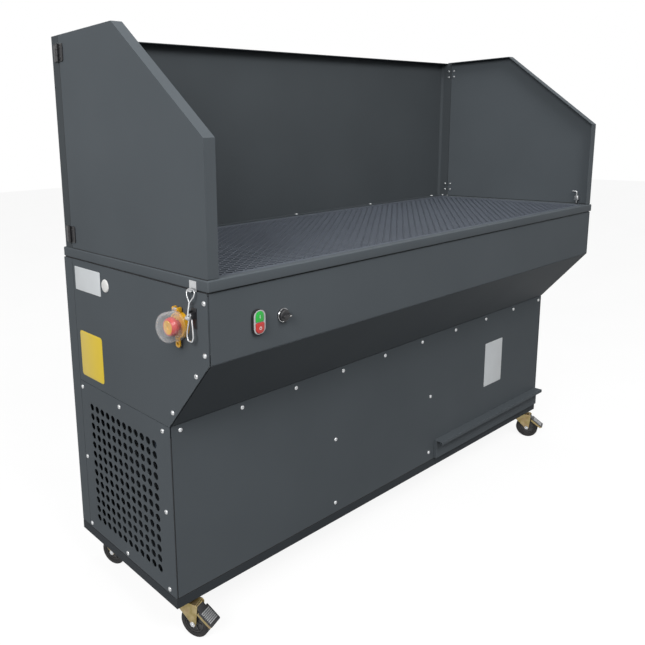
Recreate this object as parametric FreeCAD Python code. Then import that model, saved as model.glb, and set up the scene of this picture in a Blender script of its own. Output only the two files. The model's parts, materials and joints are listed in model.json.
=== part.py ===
import FreeCAD, Part
import math
import os

# Downdraft extraction bench on castors, in millimetres.
# While it is modelled, x runs from the middle of the length, y from the fascia to the back and z
# from the floor. The finished pieces are moved so that the origin is under the middle of the bench.

# Overall sizes
bench_length = 1800.0
bench_depth = 640.0
castor_height = 105.0
plinth_height = 25.0
cabinet_height = 455.0          # plinth top to the knee below the slope
cabinet_setback = 160.0         # cabinet front behind the fascia
slope_rise = 190.0
fascia_height = 156.0
rim_height = 25.0
rim_overhang = 5.0
hood_height = 553.0             # rim top to hood top
wing_front_height = 289.0       # rim top to the top of the wing's front edge
wing_bevel_depth = 328.0
return_depth = 46.0             # hinge line in front of the back

# Sheet and clearances
sheet = 2.0
frame_sheet = 2.5
plate = 3.0
seam = 1.5                      # open joint between two painted panels
corner_seam = 4.0               # front panels to the inner face of the end panels
plinth_seam = 3.0
fit_gap = 0.3
run_fit = 0.08                  # radial clearance of what turns or slides in a bore

# Rim and worktop
gasket_thickness = 3.0
gasket_width = 15.0
gasket_inset = 3.0
rim_flange = 22.0
rim_return = 25.0
ledge_width = 18.0
mesh_thickness = 6.0
mesh_gap = 1.5
mesh_border = 16.0
mesh_columns = 24
mesh_rows = 12
mesh_bar = 17.0                 # metal left between two openings, along the length
bearer_count = 4
bearer_thickness = 5.0
bearer_height = 25.0

# Cabinet
post_leg = 40.0
rear_post_leg = 75.0
top_return = 25.0
fascia_flange = 20.0
hopper_flange = 30.0
slope_flange = 24.0
slope_cheek_low = 25.0          # side cheeks of the slope, from the knee
slope_cheek_high = 45.0         # and from the slope's upper edge
partition_flange = 30.0
fan_bolt_x = -319.0             # bolt column on the partition beside the fan
filter_bolt_x = 156.0           # bolt column on the partition that carries the filters
grille_pitch = 28.0
grille_radius = 8.5
grille_clear_front = 68.0       # first column behind the cabinet front
grille_clear_rear = 58.0        # least distance to the panel's rear edge
grille_clear_bottom = 53.0      # first row above the plinth
grille_clear_top = 66.0         # least distance to the knee

# Bolts
bolt_radius = 3.0
bolt_hole = 3.4
bolt_head_radius = 6.0
bolt_head_height = 3.4
bolt_dome = 3.0                 # rounding of the head's edge
bolt_length = 9.0
end_bolt_rise = 21.0            # bolts of the end panel from its upper corners
end_bolt_slope_inset = 13.0     # bolts beside the slope, from its edge
end_bolt_slope_low = 45.0       # from the knee
end_bolt_slope_high = 55.0      # from the slope's upper edge
end_bolt_front = 28.0           # columns of the lower end panels
end_bolt_rear = 12.0
end_bolt_low = 16.0             # rows of the lower end panels
end_bolt_high = 18.0
rear_bolt_margin = 25.0
rear_bolt_low = 30.0
rear_bolt_knee = 55.0           # middle row below the knee
rear_bolt_high = 31.0
front_bolt_inset_left = 31.0
front_bolt_inset_right = 23.0
front_bolt_count = 10
front_bolt_drop = 15.0          # top row below the knee
partition_bolt_rows = (35.0, 237.0)     # above the plinth top

# Hood, wings and hinges
wing_inset = 4.0
wing_clearance = 2.0
wing_flange = 30.0
hood_bend = 12.0
hood_top_flange = 30.0
hood_foot = 22.0
hood_bolt_margin = 72.0         # first bolt from the end
hood_bolt_count = 5
hood_corner_bolt_in = 9.0
hood_corner_bolt_back = 18.0    # behind the hinge line
hinge_height = 44.0
hinge_leaf = 24.0
hinge_plate = 3.0
hinge_barrel = 5.0
hinge_pin_radius = 2.5
hinge_inset = 37.0              # lower hinge centre above the rim
hinge_top_inset = 44.0          # upper hinge centre below the hood top
hinge_screw_y = 12.0
hinge_screw_z = 12.0
screw_radius = 2.0
screw_head = 3.2
screw_head_height = 1.4
nut_radius = 3.6
nut_height = 2.6
drop_bolt_radius = 3.0
drop_bolt_y = 45.0
drop_bolt_length = 45.0
drop_bolt_in = 10.0             # rod centre inside the wing's outer face
drop_bolt_handle = 15.0
drop_bolt_lift = 0.5            # rod end above the rim when it is raised
guide_height = 16.0
guide_lift = 13.0
guide_half = 8.0

# Drawer
drawer_clear_left = 39.0        # tray to the bolt column on its left
drawer_clear_right = 55.0       # tray to the bench end
drawer_front_over = 8.0         # front past the tray on the left
drawer_front_margin = 10.0      # front to the bench end
drawer_depth = 398.0
drawer_height = 58.0
drawer_wall = 1.5
drawer_front_thickness = 10.0
drawer_lip = 22.0
drawer_lip_drop = 11.0
drawer_front_low = 5.0          # front's lower edge above the plinth
drawer_front_high = 6.0         # front's upper edge above the tray
runner_height = 6.7
runner_width = 20.0
runner_front_gap = 10.0
runner_rear_gap = 30.0
gusset_thickness = 3.0
gusset_height = 26.0
gusset_end_left = 21.0
gusset_end_right = 95.0
gusset_middle = 33.0            # left of the front's middle

# Castors
wheel_radius = 40.0
wheel_width = 28.0
castor_trail = 36.0
castor_turn = -70.0             # degrees from +x, as they stand
castor_inset_x = 50.0
castor_front_y = 200.0
castor_rear_y = 600.0
castor_plate_x = 90.0
castor_plate_y = 68.0
castor_bolt_in_x = 11.0         # bolts from the plate's edges
castor_bolt_in_y = 10.0
castor_bolt_head = 6.5
castor_bolt_head_height = 4.5
castor_bolt_length = 13.0
kingpin_radius = 6.0
kingpin_rivet = 9.5
kingpin_rivet_height = 3.0
race_rise = 7.0                 # ball race above the fork's crown
race_lip = 6.0                  # ball race past the fork's cheeks
crown_thickness = 4.0
rivet_drop = 6.0                # kingpin below the crown
cheek_gap = 1.2                 # wheel to cheek
axle_radius = 4.0
axle_head = 6.5
fork_sheet = 2.5
fork_rear = 22.0                # crown behind the kingpin
fork_front = 8.0                # crown past the axle
fork_axle_drop = 8.0            # cheek below the axle
wheel_round = 4.0
wheel_dish = 27.0
wheel_dish_depth = 6.0
wheel_hub = 10.0
pedal_pin_ahead = 6.0           # cross pin past the axle
pedal_pin_drop = 6.0            # and below the crown
pedal_pin_radius = 2.5
pedal_hub = 4.5
pedal_rise = 5.0                # tread's root above the cross pin
pedal_length = 52.0             # along the floor, from its pin
pedal_fall = 37.0
pedal_sheet = 3.0
pedal_neck = 13.0               # narrow part between the fork's cheeks
pedal_half_width = 22.0
pedal_edge = 8.0

# Controls
stop_y = 94.0
stop_z = 848.5
stop_collar_radius = 30.5
stop_collar_depth = 12.0
stop_button_radius = 21.0
stop_stem_radius = 11.0
stop_travel_gap = 7.0
stop_button_depth = 18.0
stop_button_round = 6.0
stop_neck = 15.0
stop_tab_half = 8.0
stop_tab_low = 50.0             # below the button's axis
stop_tab_high = 25.0
stop_tab_thickness = 4.0
padlock_radius = 3.2
padlock_drop = 42.0
ear_thickness = 3.0
ear_foot = 24.0                 # ears start above the button's axis
guard_radius = 34.0
guard_depth = 40.0
guard_wall = 1.8
guard_round = 11.0
guard_pin_rise = 4.0            # pin above the guard's wall
guard_pin_radius = 1.5
guard_knuckle = 3.2
guard_knuckle_half = 7.0
switch_hole = 15.0
switch_neck = 22.0
twin_inset = 138.0              # from the left end
switch_z = 846.0
twin_width = 32.0
twin_height = 58.0
twin_depth = 9.0
twin_corner = 15.0
button_side = 22.0
button_offset = 13.0
button_outer_corner = 10.0
button_inner_corner = 3.0
button_pocket = 5.5
button_stem = 3.0
button_stem_offset = 7.0
start_proud = 1.5
stop_proud = 3.0
knob_inset = 216.4              # from the left end
knob_ring = 16.5
knob_ring_depth = 4.0
knob_radius = 12.5
knob_depth = 20.0
knob_skirt = 14.5
knob_skirt_depth = 6.0
knob_stem = 5.0
knob_grip_half = 4.0

# Latch
latch_y = 45.0
latch_width = 18.0
latch_pivot_out = 10.0
latch_pivot_z = 880.0
bail_pin_out = 18.7
bail_pin_drop = 5.0
hook_half_width = 6.0
bail_wire = 1.5
bail_bow = 29.0                 # length of its open end
lever_wire = 1.8

# Inside
cartridge_wall = 45.0
cartridge_gap = 10.0
cartridge_clear = 23.0          # to the cabinet's front and back
cartridge_length = 560.0
cartridge_z = 380.0
scroll_radius = 190.0
scroll_width = 150.0
fan_z = 370.0
impeller_radius = 150.0
motor_radius = 85.0
motor_length = 250.0
terminal_box_near = 60.0        # from the scroll
terminal_box_far = 160.0
inlet_radius = 100.0
duct_start = 60.0               # outlet's near wall behind the fan's axis
wheel_gap = 12.0                # fan wheel to the scroll's sides
blade_count = 12
blade_inner = 96.0
blade_lean = 35.0               # degrees
wheel_hub_radius = 22.0
wheel_hub_length = 50.0
wheel_disc = 3.0
terminal_box_half = 40.0
shaft_radius = 9.0
control_box_length = 255.0
control_box_depth = 128.0
gland_inset = 200.0             # from the left end
gland_z = 300.0
gland_bore = 6.5
gland_thread = 3.0              # wall of the thread
gland_nut_wall = 7.0
gland_cap_wall = 5.0
gland_cap_length = 22.0

# Levels and faces that follow from the sizes above
half = bench_length / 2
plinth_top = castor_height + plinth_height
knee_z = plinth_top + cabinet_height
fascia_bottom = knee_z + slope_rise
cabinet_top = fascia_bottom + fascia_height
rim_bottom = cabinet_top + gasket_thickness
rim_top = rim_bottom + rim_height
wing_bottom = rim_top + wing_clearance
hood_top = rim_top + hood_height
end_inner = half - sheet
panel_half = end_inner - fit_gap
front_half = end_inner - corner_seam
back_inner = bench_depth - sheet
hinge_y = bench_depth - return_depth
hood_half = half - wing_inset
hood_inner = hood_half - sheet
mesh_half = half - rim_flange - mesh_gap
mesh_front = rim_flange - rim_overhang + mesh_gap
mesh_rear = bench_depth - rim_flange - mesh_gap
mesh_top = rim_top - wing_clearance
mesh_bottom = mesh_top - mesh_thickness
ledge_top = mesh_bottom - fit_gap
slope_length = math.hypot(cabinet_setback, slope_rise)
drawer_left = filter_bolt_x + drawer_clear_left
drawer_right = half - drawer_clear_right
drawer_front_left = drawer_left - drawer_front_over
drawer_front_right = half - drawer_front_margin
grille_front = cabinet_setback + grille_clear_front
grille_bottom = plinth_top + grille_clear_bottom
grille_columns = 1 + int((hinge_y - grille_clear_rear - grille_front) / grille_pitch + 0.01)
grille_rows = 1 + int((knee_z - grille_clear_top - grille_bottom) / grille_pitch + 0.01)
filter_room = back_inner - cabinet_setback - sheet - 2 * cartridge_clear - cartridge_gap
cartridge_radius = filter_room / 4
cartridge_y = (cabinet_setback + sheet + cartridge_clear + cartridge_radius,
               back_inner - cartridge_clear - cartridge_radius)
cartridge_bore = cartridge_radius - cartridge_wall
fan_y = (cabinet_setback + sheet + back_inner) / 2
twin_x = twin_inset - half
knob_x = knob_inset - half
gland_x = gland_inset - half

vec = FreeCAD.Vector
pieces = {}


def keep(name, *shapes):
    pieces[name] = list(shapes)


def box(x0, x1, y0, y1, z0, z1):
    return Part.makeBox(x1 - x0, y1 - y0, z1 - z0, vec(x0, y0, z0))


def rod(radius, length, start, along):
    return Part.makeCylinder(radius, length, vec(*start), vec(*along))


def join(first, *others):
    return first.fuse(list(others)).removeSplitter()


def plate_from(points, depth):
    """Flat outline of 3-D points pushed along the depth vector."""
    corners = [vec(*point) for point in points]
    face = Part.Face(Part.makePolygon(corners + corners[:1]))
    return face.extrude(vec(*depth))


def end_plate(outline, x0, x1):
    """Outline of (y, z) points, from x0 to x1."""
    return plate_from([(x0, y, z) for y, z in outline], (x1 - x0, 0, 0))


def ring(half_x, front, rear, wide_x, wide_y, z0, z1):
    outer = box(-half_x, half_x, front, rear, z0, z1)
    inner = box(wide_x - half_x, half_x - wide_x, front + wide_y, rear - wide_y, z0, z1)
    return outer.cut(inner)


def mirrored(shape):
    return shape.mirror(vec(0, 0, 0), vec(1, 0, 0))


def inset_outline(points, insets):
    """Corners of an anticlockwise outline after each edge has moved inward by its own inset."""
    edges = []
    for (a, b), (c, d), inset in zip(points, points[1:] + points[:1], insets):
        size = math.hypot(c - a, d - b)
        along = ((c - a) / size, (d - b) / size)
        edges.append((a - along[1] * inset, b + along[0] * inset, along[0], along[1]))
    corners = []
    for (x1, y1, u1, v1), (x2, y2, u2, v2) in zip(edges[-1:] + edges[:-1], edges):
        t = ((x2 - x1) * v2 - (y2 - y1) * u2) / (u1 * v2 - v1 * u2)
        corners.append((x1 + u1 * t, y1 + v1 * t))
    return corners


def slope_point(distance, inset):
    """(y, z) on the sloped front, measured up from the knee and inward from the outer face."""
    along = (-cabinet_setback / slope_length, slope_rise / slope_length)
    inward = (along[1], -along[0])
    y = cabinet_setback + along[0] * distance + inward[0] * inset
    z = knee_z + along[1] * distance + inward[1] * inset
    return (y, z)


def slope_at_y(y, inset):
    """The point of the sloped front, at that inset, where it reaches y."""
    start = slope_point(0, inset)
    return slope_point((start[0] - y) * slope_length / cabinet_setback, inset)


def bent_wire(points, radius):
    """Round wire through the points, with a ball at each inner corner."""
    parts = []
    for start, end in zip(points, points[1:]):
        run = vec(*end) - vec(*start)
        parts.append(Part.makeCylinder(radius, run.Length, vec(*start), run))
    for corner in points[1:-1]:
        parts.append(Part.makeSphere(radius, vec(*corner)))
    return parts


def dome_bolt(point, outward):
    """Dome-headed bolt whose head sits on the point and whose shank goes inward."""
    head = rod(bolt_head_radius, bolt_head_height, (0, 0, 0), (0, 0, 1))
    rims = [edge for edge in head.Edges if abs(edge.CenterOfMass.z - bolt_head_height) < 0.01]
    head = head.makeFillet(bolt_dome, rims)
    shank = rod(bolt_radius, bolt_length, (0, 0, -bolt_length), (0, 0, 1))
    bolt = join(head, shank)
    bolt.Placement = FreeCAD.Placement(vec(*point), FreeCAD.Rotation(vec(0, 0, 1), vec(*outward)))
    return bolt


def bolt_holes(places):
    """Clearance bores for bolts at (point, outward) places."""
    bores = []
    for point, outward in places:
        start = vec(*point) + vec(*outward)
        bores.append(Part.makeCylinder(bolt_hole, bolt_length + 2, start, vec(*outward) * -1))
    return bores


def drilled(shape, places):
    """The shape with a bore for each bolt that meets its box."""
    bores = [bore for bore in bolt_holes(places) if bore.BoundBox.intersect(shape.BoundBox)]
    if not bores:
        return shape
    return shape.cut(bores)


# Bolt places, as (point on the outer face, outward direction)
def front_bolt_places():
    row_z = knee_z - front_bolt_drop
    first = front_bolt_inset_left - half
    pitch = (bench_length - front_bolt_inset_left - front_bolt_inset_right) / (front_bolt_count - 1)
    places = []
    for index in range(front_bolt_count):
        places.append(((first + pitch * index, cabinet_setback, row_z), (0, -1, 0)))
    for x in (fan_bolt_x, filter_bolt_x):
        for height in partition_bolt_rows:
            places.append(((x, cabinet_setback, plinth_top + height), (0, -1, 0)))
    return places


def end_bolt_places(side):
    upper = [(10.0, cabinet_top - end_bolt_rise), (12.0, fascia_bottom + end_bolt_rise),
             slope_point(slope_length - end_bolt_slope_high, end_bolt_slope_inset),
             slope_point(end_bolt_slope_low, end_bolt_slope_inset)]
    front_column = cabinet_setback + end_bolt_front
    rear_column = hinge_y - end_bolt_rear
    low_row = plinth_top + end_bolt_low
    high_row = knee_z - end_bolt_high
    columns = (front_column, (front_column + rear_column) / 2, rear_column)
    rows = (low_row, (low_row + high_row) / 2, high_row)
    lower = []
    for column, y in enumerate(columns):
        for row, z in enumerate(rows):
            if (column, row) != (1, 1):
                lower.append((y, z))
    return [((side * half, y, z), (side, 0, 0)) for y, z in upper + lower]


def rear_bolt_places():
    places = []
    for x in (rear_bolt_margin - half, fan_bolt_x, filter_bolt_x, half - rear_bolt_margin):
        for z in (plinth_top + rear_bolt_low, knee_z - rear_bolt_knee, cabinet_top - rear_bolt_high):
            places.append(((x, bench_depth, z), (0, 1, 0)))
    return places


def hood_bolt_places():
    z = rim_top + sheet
    first = hood_bolt_margin - half
    pitch = (bench_length - 2 * hood_bolt_margin) / (hood_bolt_count - 1)
    places = []
    for index in range(hood_bolt_count):
        places.append(((first + pitch * index, bench_depth - hood_foot / 2, z), (0, 0, 1)))
    for side in (-1, 1):
        x = side * (hood_half - hood_corner_bolt_in)
        places.append(((x, hinge_y + hood_corner_bolt_back, z), (0, 0, 1)))
    return places


panel_bolt_places = (front_bolt_places() + end_bolt_places(-1) + end_bolt_places(1)
                     + rear_bolt_places() + hood_bolt_places())


# Plinth and castors
def castor_places():
    """Names, swivel axis x and y of the four castors."""
    x = half - castor_inset_x
    return [("front_left", -x, castor_front_y), ("front_right", x, castor_front_y),
            ("rear_left", -x, castor_rear_y), ("rear_right", x, castor_rear_y)]


def castor_bolt_points(x, y):
    reach_x = castor_plate_x / 2 - castor_bolt_in_x
    reach_y = castor_plate_y / 2 - castor_bolt_in_y
    return [(x + i * reach_x, y + j * reach_y) for i in (-1, 1) for j in (-1, 1)]


def make_plinth():
    floor = box(-half, half, cabinet_setback, bench_depth, plinth_top - plate, plinth_top)
    skirt_outer = box(-half, half, cabinet_setback, bench_depth, castor_height, plinth_top - plate)
    skirt_inner = box(plate - half, half - plate, cabinet_setback + plate, bench_depth - plate,
                      castor_height, plinth_top - plate)
    pads = []
    for _, x, y in castor_places():
        pad = box(x - castor_plate_x / 2, x + castor_plate_x / 2, y - castor_plate_y / 2,
                  y + castor_plate_y / 2, castor_height, plinth_top - plate)
        channel = box(x - castor_plate_x / 2, x + castor_plate_x / 2, y - castor_plate_y / 2 + plate,
                      y + castor_plate_y / 2 - plate, castor_height + plate, plinth_top - plate)
        pad = pad.cut(channel)
        for bolt_x, bolt_y in castor_bolt_points(x, y):
            pad = pad.cut(rod(bolt_hole, 2 * plate, (bolt_x, bolt_y, castor_height - plate), (0, 0, 1)))
        pads.append(pad)
    skirts = skirt_outer.cut(skirt_inner)
    keep("base_plinth", join(floor, skirts, *pads))


def castor_frame(shape, x, y):
    """Turns a castor piece, drawn with its trail along +x, into its place."""
    moved = shape.copy()
    moved.rotate(vec(0, 0, 0), vec(0, 0, 1), castor_turn)
    moved.translate(vec(x, y, 0))
    return moved


def make_castors():
    plate_bottom = castor_height - plate
    race_top = plate_bottom - fit_gap
    crown_top = race_top - race_rise
    crown_bottom = crown_top - crown_thickness
    pin_bottom = crown_bottom - rivet_drop
    cheek_in = wheel_width / 2 + cheek_gap
    cheek_out = cheek_in + fork_sheet
    plates = []
    bolts = []
    fork_foot = wheel_radius - fork_axle_drop
    fork_profile = [(-fork_rear, crown_top), (castor_trail + fork_front, crown_top),
                    (castor_trail + 14, crown_bottom), (castor_trail + 9, wheel_radius + 2),
                    (castor_trail + 5, fork_foot), (castor_trail - 5, fork_foot),
                    (castor_trail - 10, wheel_radius + 2), (-fork_rear, crown_bottom - 7)]
    for name, x, y in castor_places():
        base = box(x - castor_plate_x / 2, x + castor_plate_x / 2, y - castor_plate_y / 2,
                   y + castor_plate_y / 2, plate_bottom, castor_height)
        for bolt_x, bolt_y in castor_bolt_points(x, y):
            base = base.cut(rod(bolt_hole, 2 * plate, (bolt_x, bolt_y, plate_bottom - 1), (0, 0, 1)))
            head_z = plate_bottom - castor_bolt_head_height
            head = rod(castor_bolt_head, castor_bolt_head_height, (bolt_x, bolt_y, head_z), (0, 0, 1))
            shank = rod(bolt_radius, castor_bolt_length, (bolt_x, bolt_y, plate_bottom - 1), (0, 0, 1))
            bolts.append(join(head, shank))
        pin = rod(kingpin_radius, plate_bottom - pin_bottom + 1, (x, y, pin_bottom), (0, 0, 1))
        rivet = rod(kingpin_rivet, kingpin_rivet_height, (x, y, pin_bottom), (0, 0, 1))
        plates.append(join(base, pin, rivet))
        cheek = plate_from([(px, -cheek_out, pz) for px, pz in fork_profile], (0, fork_sheet, 0))
        other = plate_from([(px, cheek_in, pz) for px, pz in fork_profile], (0, fork_sheet, 0))
        crown = box(-fork_rear, castor_trail + fork_front, -cheek_in, cheek_in, crown_bottom, crown_top)
        race = rod(cheek_out + race_lip, race_top - crown_bottom, (0, 0, crown_bottom), (0, 0, 1))
        fork = join(crown, race, cheek, other)
        fork = fork.cut(rod(kingpin_radius + run_fit, 40, (0, 0, crown_bottom - 20), (0, 0, 1)))
        axle_start = (castor_trail, -cheek_out - 1.5, wheel_radius)
        axle_reach = 2 * cheek_out + 3
        fork = fork.cut(rod(axle_radius + 0.02, axle_reach, axle_start, (0, 1, 0)))
        axle = rod(axle_radius, axle_reach, axle_start, (0, 1, 0))
        heads = [rod(axle_head, 4, (castor_trail, side * (cheek_out + 2) - 2, wheel_radius), (0, 1, 0))
                 for side in (-1, 1)]
        axle = join(axle, *heads)
        keep("castor_fork_" + name, castor_frame(fork, x, y), castor_frame(axle, x, y))
        wheel = rod(wheel_radius, wheel_width, (castor_trail, -wheel_width / 2, wheel_radius), (0, 1, 0))
        rims = [edge for edge in wheel.Edges if abs(edge.Length - 2 * math.pi * wheel_radius) < 0.01]
        wheel = wheel.makeFillet(wheel_round, rims)
        for side in (-1, 1):
            middle = side * (wheel_width - wheel_dish_depth) / 2
            dish_start = (castor_trail, middle - wheel_dish_depth / 2, wheel_radius)
            dish = rod(wheel_dish, wheel_dish_depth, dish_start, (0, 1, 0))
            wheel = wheel.cut(dish.cut(rod(wheel_hub, wheel_dish_depth, dish_start, (0, 1, 0))))
        bore = rod(axle_radius + run_fit, wheel_width + 2, (castor_trail, -wheel_width / 2 - 1, wheel_radius),
                   (0, 1, 0))
        keep("castor_wheel_" + name, castor_frame(wheel.cut(bore), x, y))
    keep("castor_plates", *plates)
    keep("castor_bolts", *bolts)
    make_brake_pedals(cheek_in, cheek_out, crown_bottom)


def make_brake_pedals(cheek_in, cheek_out, crown_bottom):
    """Foot pedals that turn on a cross pin held by the cheeks of the two front forks."""
    pin_x = castor_trail + pedal_pin_ahead
    pin_z = crown_bottom - pedal_pin_drop
    root_z = pin_z + pedal_rise
    for name, x, y in castor_places()[:2]:
        fork, axle = pieces["castor_fork_" + name]
        pin = castor_frame(rod(pedal_pin_radius, 2 * cheek_out, (pin_x, -cheek_out, pin_z), (0, 1, 0)), x, y)
        pieces["castor_fork_" + name] = [join(fork, pin), axle]
        half_width = cheek_in - fit_gap
        hub = rod(pedal_hub, 2 * half_width, (pin_x, -half_width, pin_z), (0, 1, 0))

        def slab(start, below, y0, y1):
            """Piece of the sloping tread from that distance to its end, hanging down by that much."""
            drop = pedal_fall / pedal_length
            first = (pin_x + start, root_z - start * drop)
            last = (pin_x + pedal_length, root_z - pedal_fall)
            corners = [first, last, (last[0], last[1] - below), (first[0], first[1] - below)]
            return plate_from([(px, y0, pz) for px, pz in corners], (0, y1 - y0, 0))

        neck = slab(0, pedal_sheet, -half_width, half_width)
        tread = slab(pedal_neck, pedal_sheet, -pedal_half_width, pedal_half_width)
        edges = [slab(pedal_neck, pedal_edge, y0, y0 + fork_sheet)
                 for y0 in (-pedal_half_width, pedal_half_width - fork_sheet)]
        pedal = join(hub, neck, tread, *edges)
        bore_radius = pedal_pin_radius + run_fit
        pedal = pedal.cut(rod(bore_radius, 2 * half_width + 2, (pin_x, -half_width - 1, pin_z), (0, 1, 0)))
        side = name.split("_")[1]
        keep("brake_pedal_" + side, castor_frame(pedal, x, y))


# Cabinet
def make_posts():
    top_rear = cabinet_top - sheet
    top_front = knee_z - hopper_flange - fit_gap
    posts = []
    for side in (-1, 1):
        rear = join(
            box(-end_inner, plate - end_inner, back_inner - rear_post_leg, back_inner, plinth_top, top_rear),
            box(-end_inner, post_leg - end_inner, back_inner - plate, back_inner, plinth_top, top_rear))
        front_y = cabinet_setback + sheet
        front = join(
            box(-end_inner, plate - end_inner, front_y, front_y + post_leg, plinth_top, top_front),
            box(-end_inner, post_leg - end_inner, front_y, front_y + plate, plinth_top, top_front))
        for post in (rear, front):
            if side > 0:
                post = mirrored(post)
            posts.append(drilled(post, panel_bolt_places))
    keep("corner_posts", *posts)


def make_end_panels():
    rear_edge = hinge_y - seam / 2
    split = knee_z
    upper_outline = [(0, cabinet_top), (0, fascia_bottom), slope_point(seam / 2, 0),
                     (rear_edge, split + seam / 2), (rear_edge, cabinet_top)]
    upper_outline[2] = (slope_at_y(cabinet_setback - 1, 0)[0], split + seam / 2)
    for side, name in ((-1, "left_upper_panel"), (1, "right_upper_panel")):
        panel = end_plate(upper_outline, -half, -end_inner)
        lip = box(-half, top_return - half, sheet + fit_gap, rear_edge, cabinet_top - sheet, cabinet_top)
        panel = join(panel, lip)
        if side > 0:
            panel = mirrored(panel)
        panel = drilled(panel, panel_bolt_places)
        if side < 0:
            hole = rod(switch_hole, 4 * sheet, (-half - sheet, stop_y, stop_z), (1, 0, 0))
            panel = panel.cut(hole)
        keep(name, panel)
    low = plinth_top + plinth_seam
    high = split - seam / 2
    for side, name in ((-1, "left_grille_panel"), (1, "right_lower_panel")):
        outer = [vec(side * half, cabinet_setback, low), vec(side * half, rear_edge, low),
                 vec(side * half, rear_edge, high), vec(side * half, cabinet_setback, high)]
        wires = [Part.makePolygon(outer + outer[:1])]
        if side < 0:
            for column in range(grille_columns):
                for row in range(grille_rows):
                    y = grille_front + grille_pitch * column
                    centre = vec(-half, y, grille_bottom + grille_pitch * row)
                    wires.append(Part.Wire([Part.Circle(centre, vec(1, 0, 0), grille_radius).toShape()]))
        face = Part.makeFace(wires, "Part::FaceMakerBullseye")
        panel = face.extrude(vec(-side * sheet, 0, 0))
        keep(name, drilled(panel, panel_bolt_places))


def cheek_outline(depth):
    """Outline behind the sloped skin, from its inner face to that depth below its outer one."""
    low = slope_cheek_low
    high = slope_length - slope_cheek_high
    return [slope_point(low, sheet), slope_point(low, depth), slope_point(high, depth),
            slope_point(high, sheet)]


def make_front_panels():
    low = plinth_top + plinth_seam
    panel = box(-front_half, front_half, cabinet_setback, cabinet_setback + sheet, low, knee_z - seam / 2)
    drawer_way = box(drawer_left - sheet, drawer_right + sheet, cabinet_setback - sheet,
                     cabinet_setback + 2 * sheet, low - sheet, drawer_top() + plate)
    keep("front_panel", drilled(panel.cut(drawer_way), panel_bolt_places))

    flange_y = cabinet_setback + sheet
    lower_edge = slope_point(seam, 0)
    upper_edge = slope_point(slope_length - seam, 0)
    outline = [lower_edge, upper_edge, (sheet, upper_edge[1] + seam), (sheet, fascia_bottom + slope_flange),
               (2 * sheet, fascia_bottom + slope_flange), slope_at_y(2 * sheet, sheet),
               slope_at_y(flange_y + sheet, sheet), (flange_y + sheet, knee_z - hopper_flange),
               (flange_y, knee_z - hopper_flange), (flange_y, knee_z - 0.4)]
    skin = end_plate(outline, -front_half, front_half)
    cheek = end_plate(cheek_outline(slope_flange), -panel_half, sheet - panel_half)
    step = end_plate(cheek_outline(2 * sheet), -panel_half, 2 * sheet - front_half)
    side = join(cheek, step)
    hopper = join(skin, side, mirrored(side))
    keep("hopper_front", drilled(hopper, panel_bolt_places))

    front = box(-front_half, front_half, 0, sheet, fascia_bottom + seam / 2, cabinet_top)
    top = box(top_return + fit_gap - half, half - top_return - fit_gap, 0, top_return, cabinet_top - sheet,
              cabinet_top)
    flange_top = cabinet_top - 3 * sheet
    flange = box(-panel_half, sheet - panel_half, sheet, fascia_flange, fascia_bottom + 5, flange_top)
    step = box(-panel_half, 2 * sheet - front_half, sheet, 2 * sheet, fascia_bottom + slope_flange + sheet,
               flange_top)
    side = join(flange, step)
    fascia = join(front, top, side, mirrored(side))
    for x in (twin_x, knob_x):
        fascia = fascia.cut(rod(switch_hole, 4 * sheet, (x, -sheet, switch_z), (0, 1, 0)))
    keep("control_fascia", drilled(fascia, panel_bolt_places))


def make_rear_panel():
    low = plinth_top + plinth_seam
    front = hinge_y + seam / 2
    outer = box(-half, half, front, bench_depth, low, cabinet_top)
    inner = box(-end_inner, end_inner, front, back_inner, low, cabinet_top)
    lip = box(-end_inner, end_inner, back_inner - top_return, back_inner, cabinet_top - sheet, cabinet_top)
    panel = join(outer.cut(inner), lip)
    hole_radius = gland_bore + gland_thread + 0.5
    panel = panel.cut(rod(hole_radius, 4 * sheet, (gland_x, back_inner - sheet, gland_z), (0, 1, 0)))
    keep("rear_panel", drilled(panel, panel_bolt_places))


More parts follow.
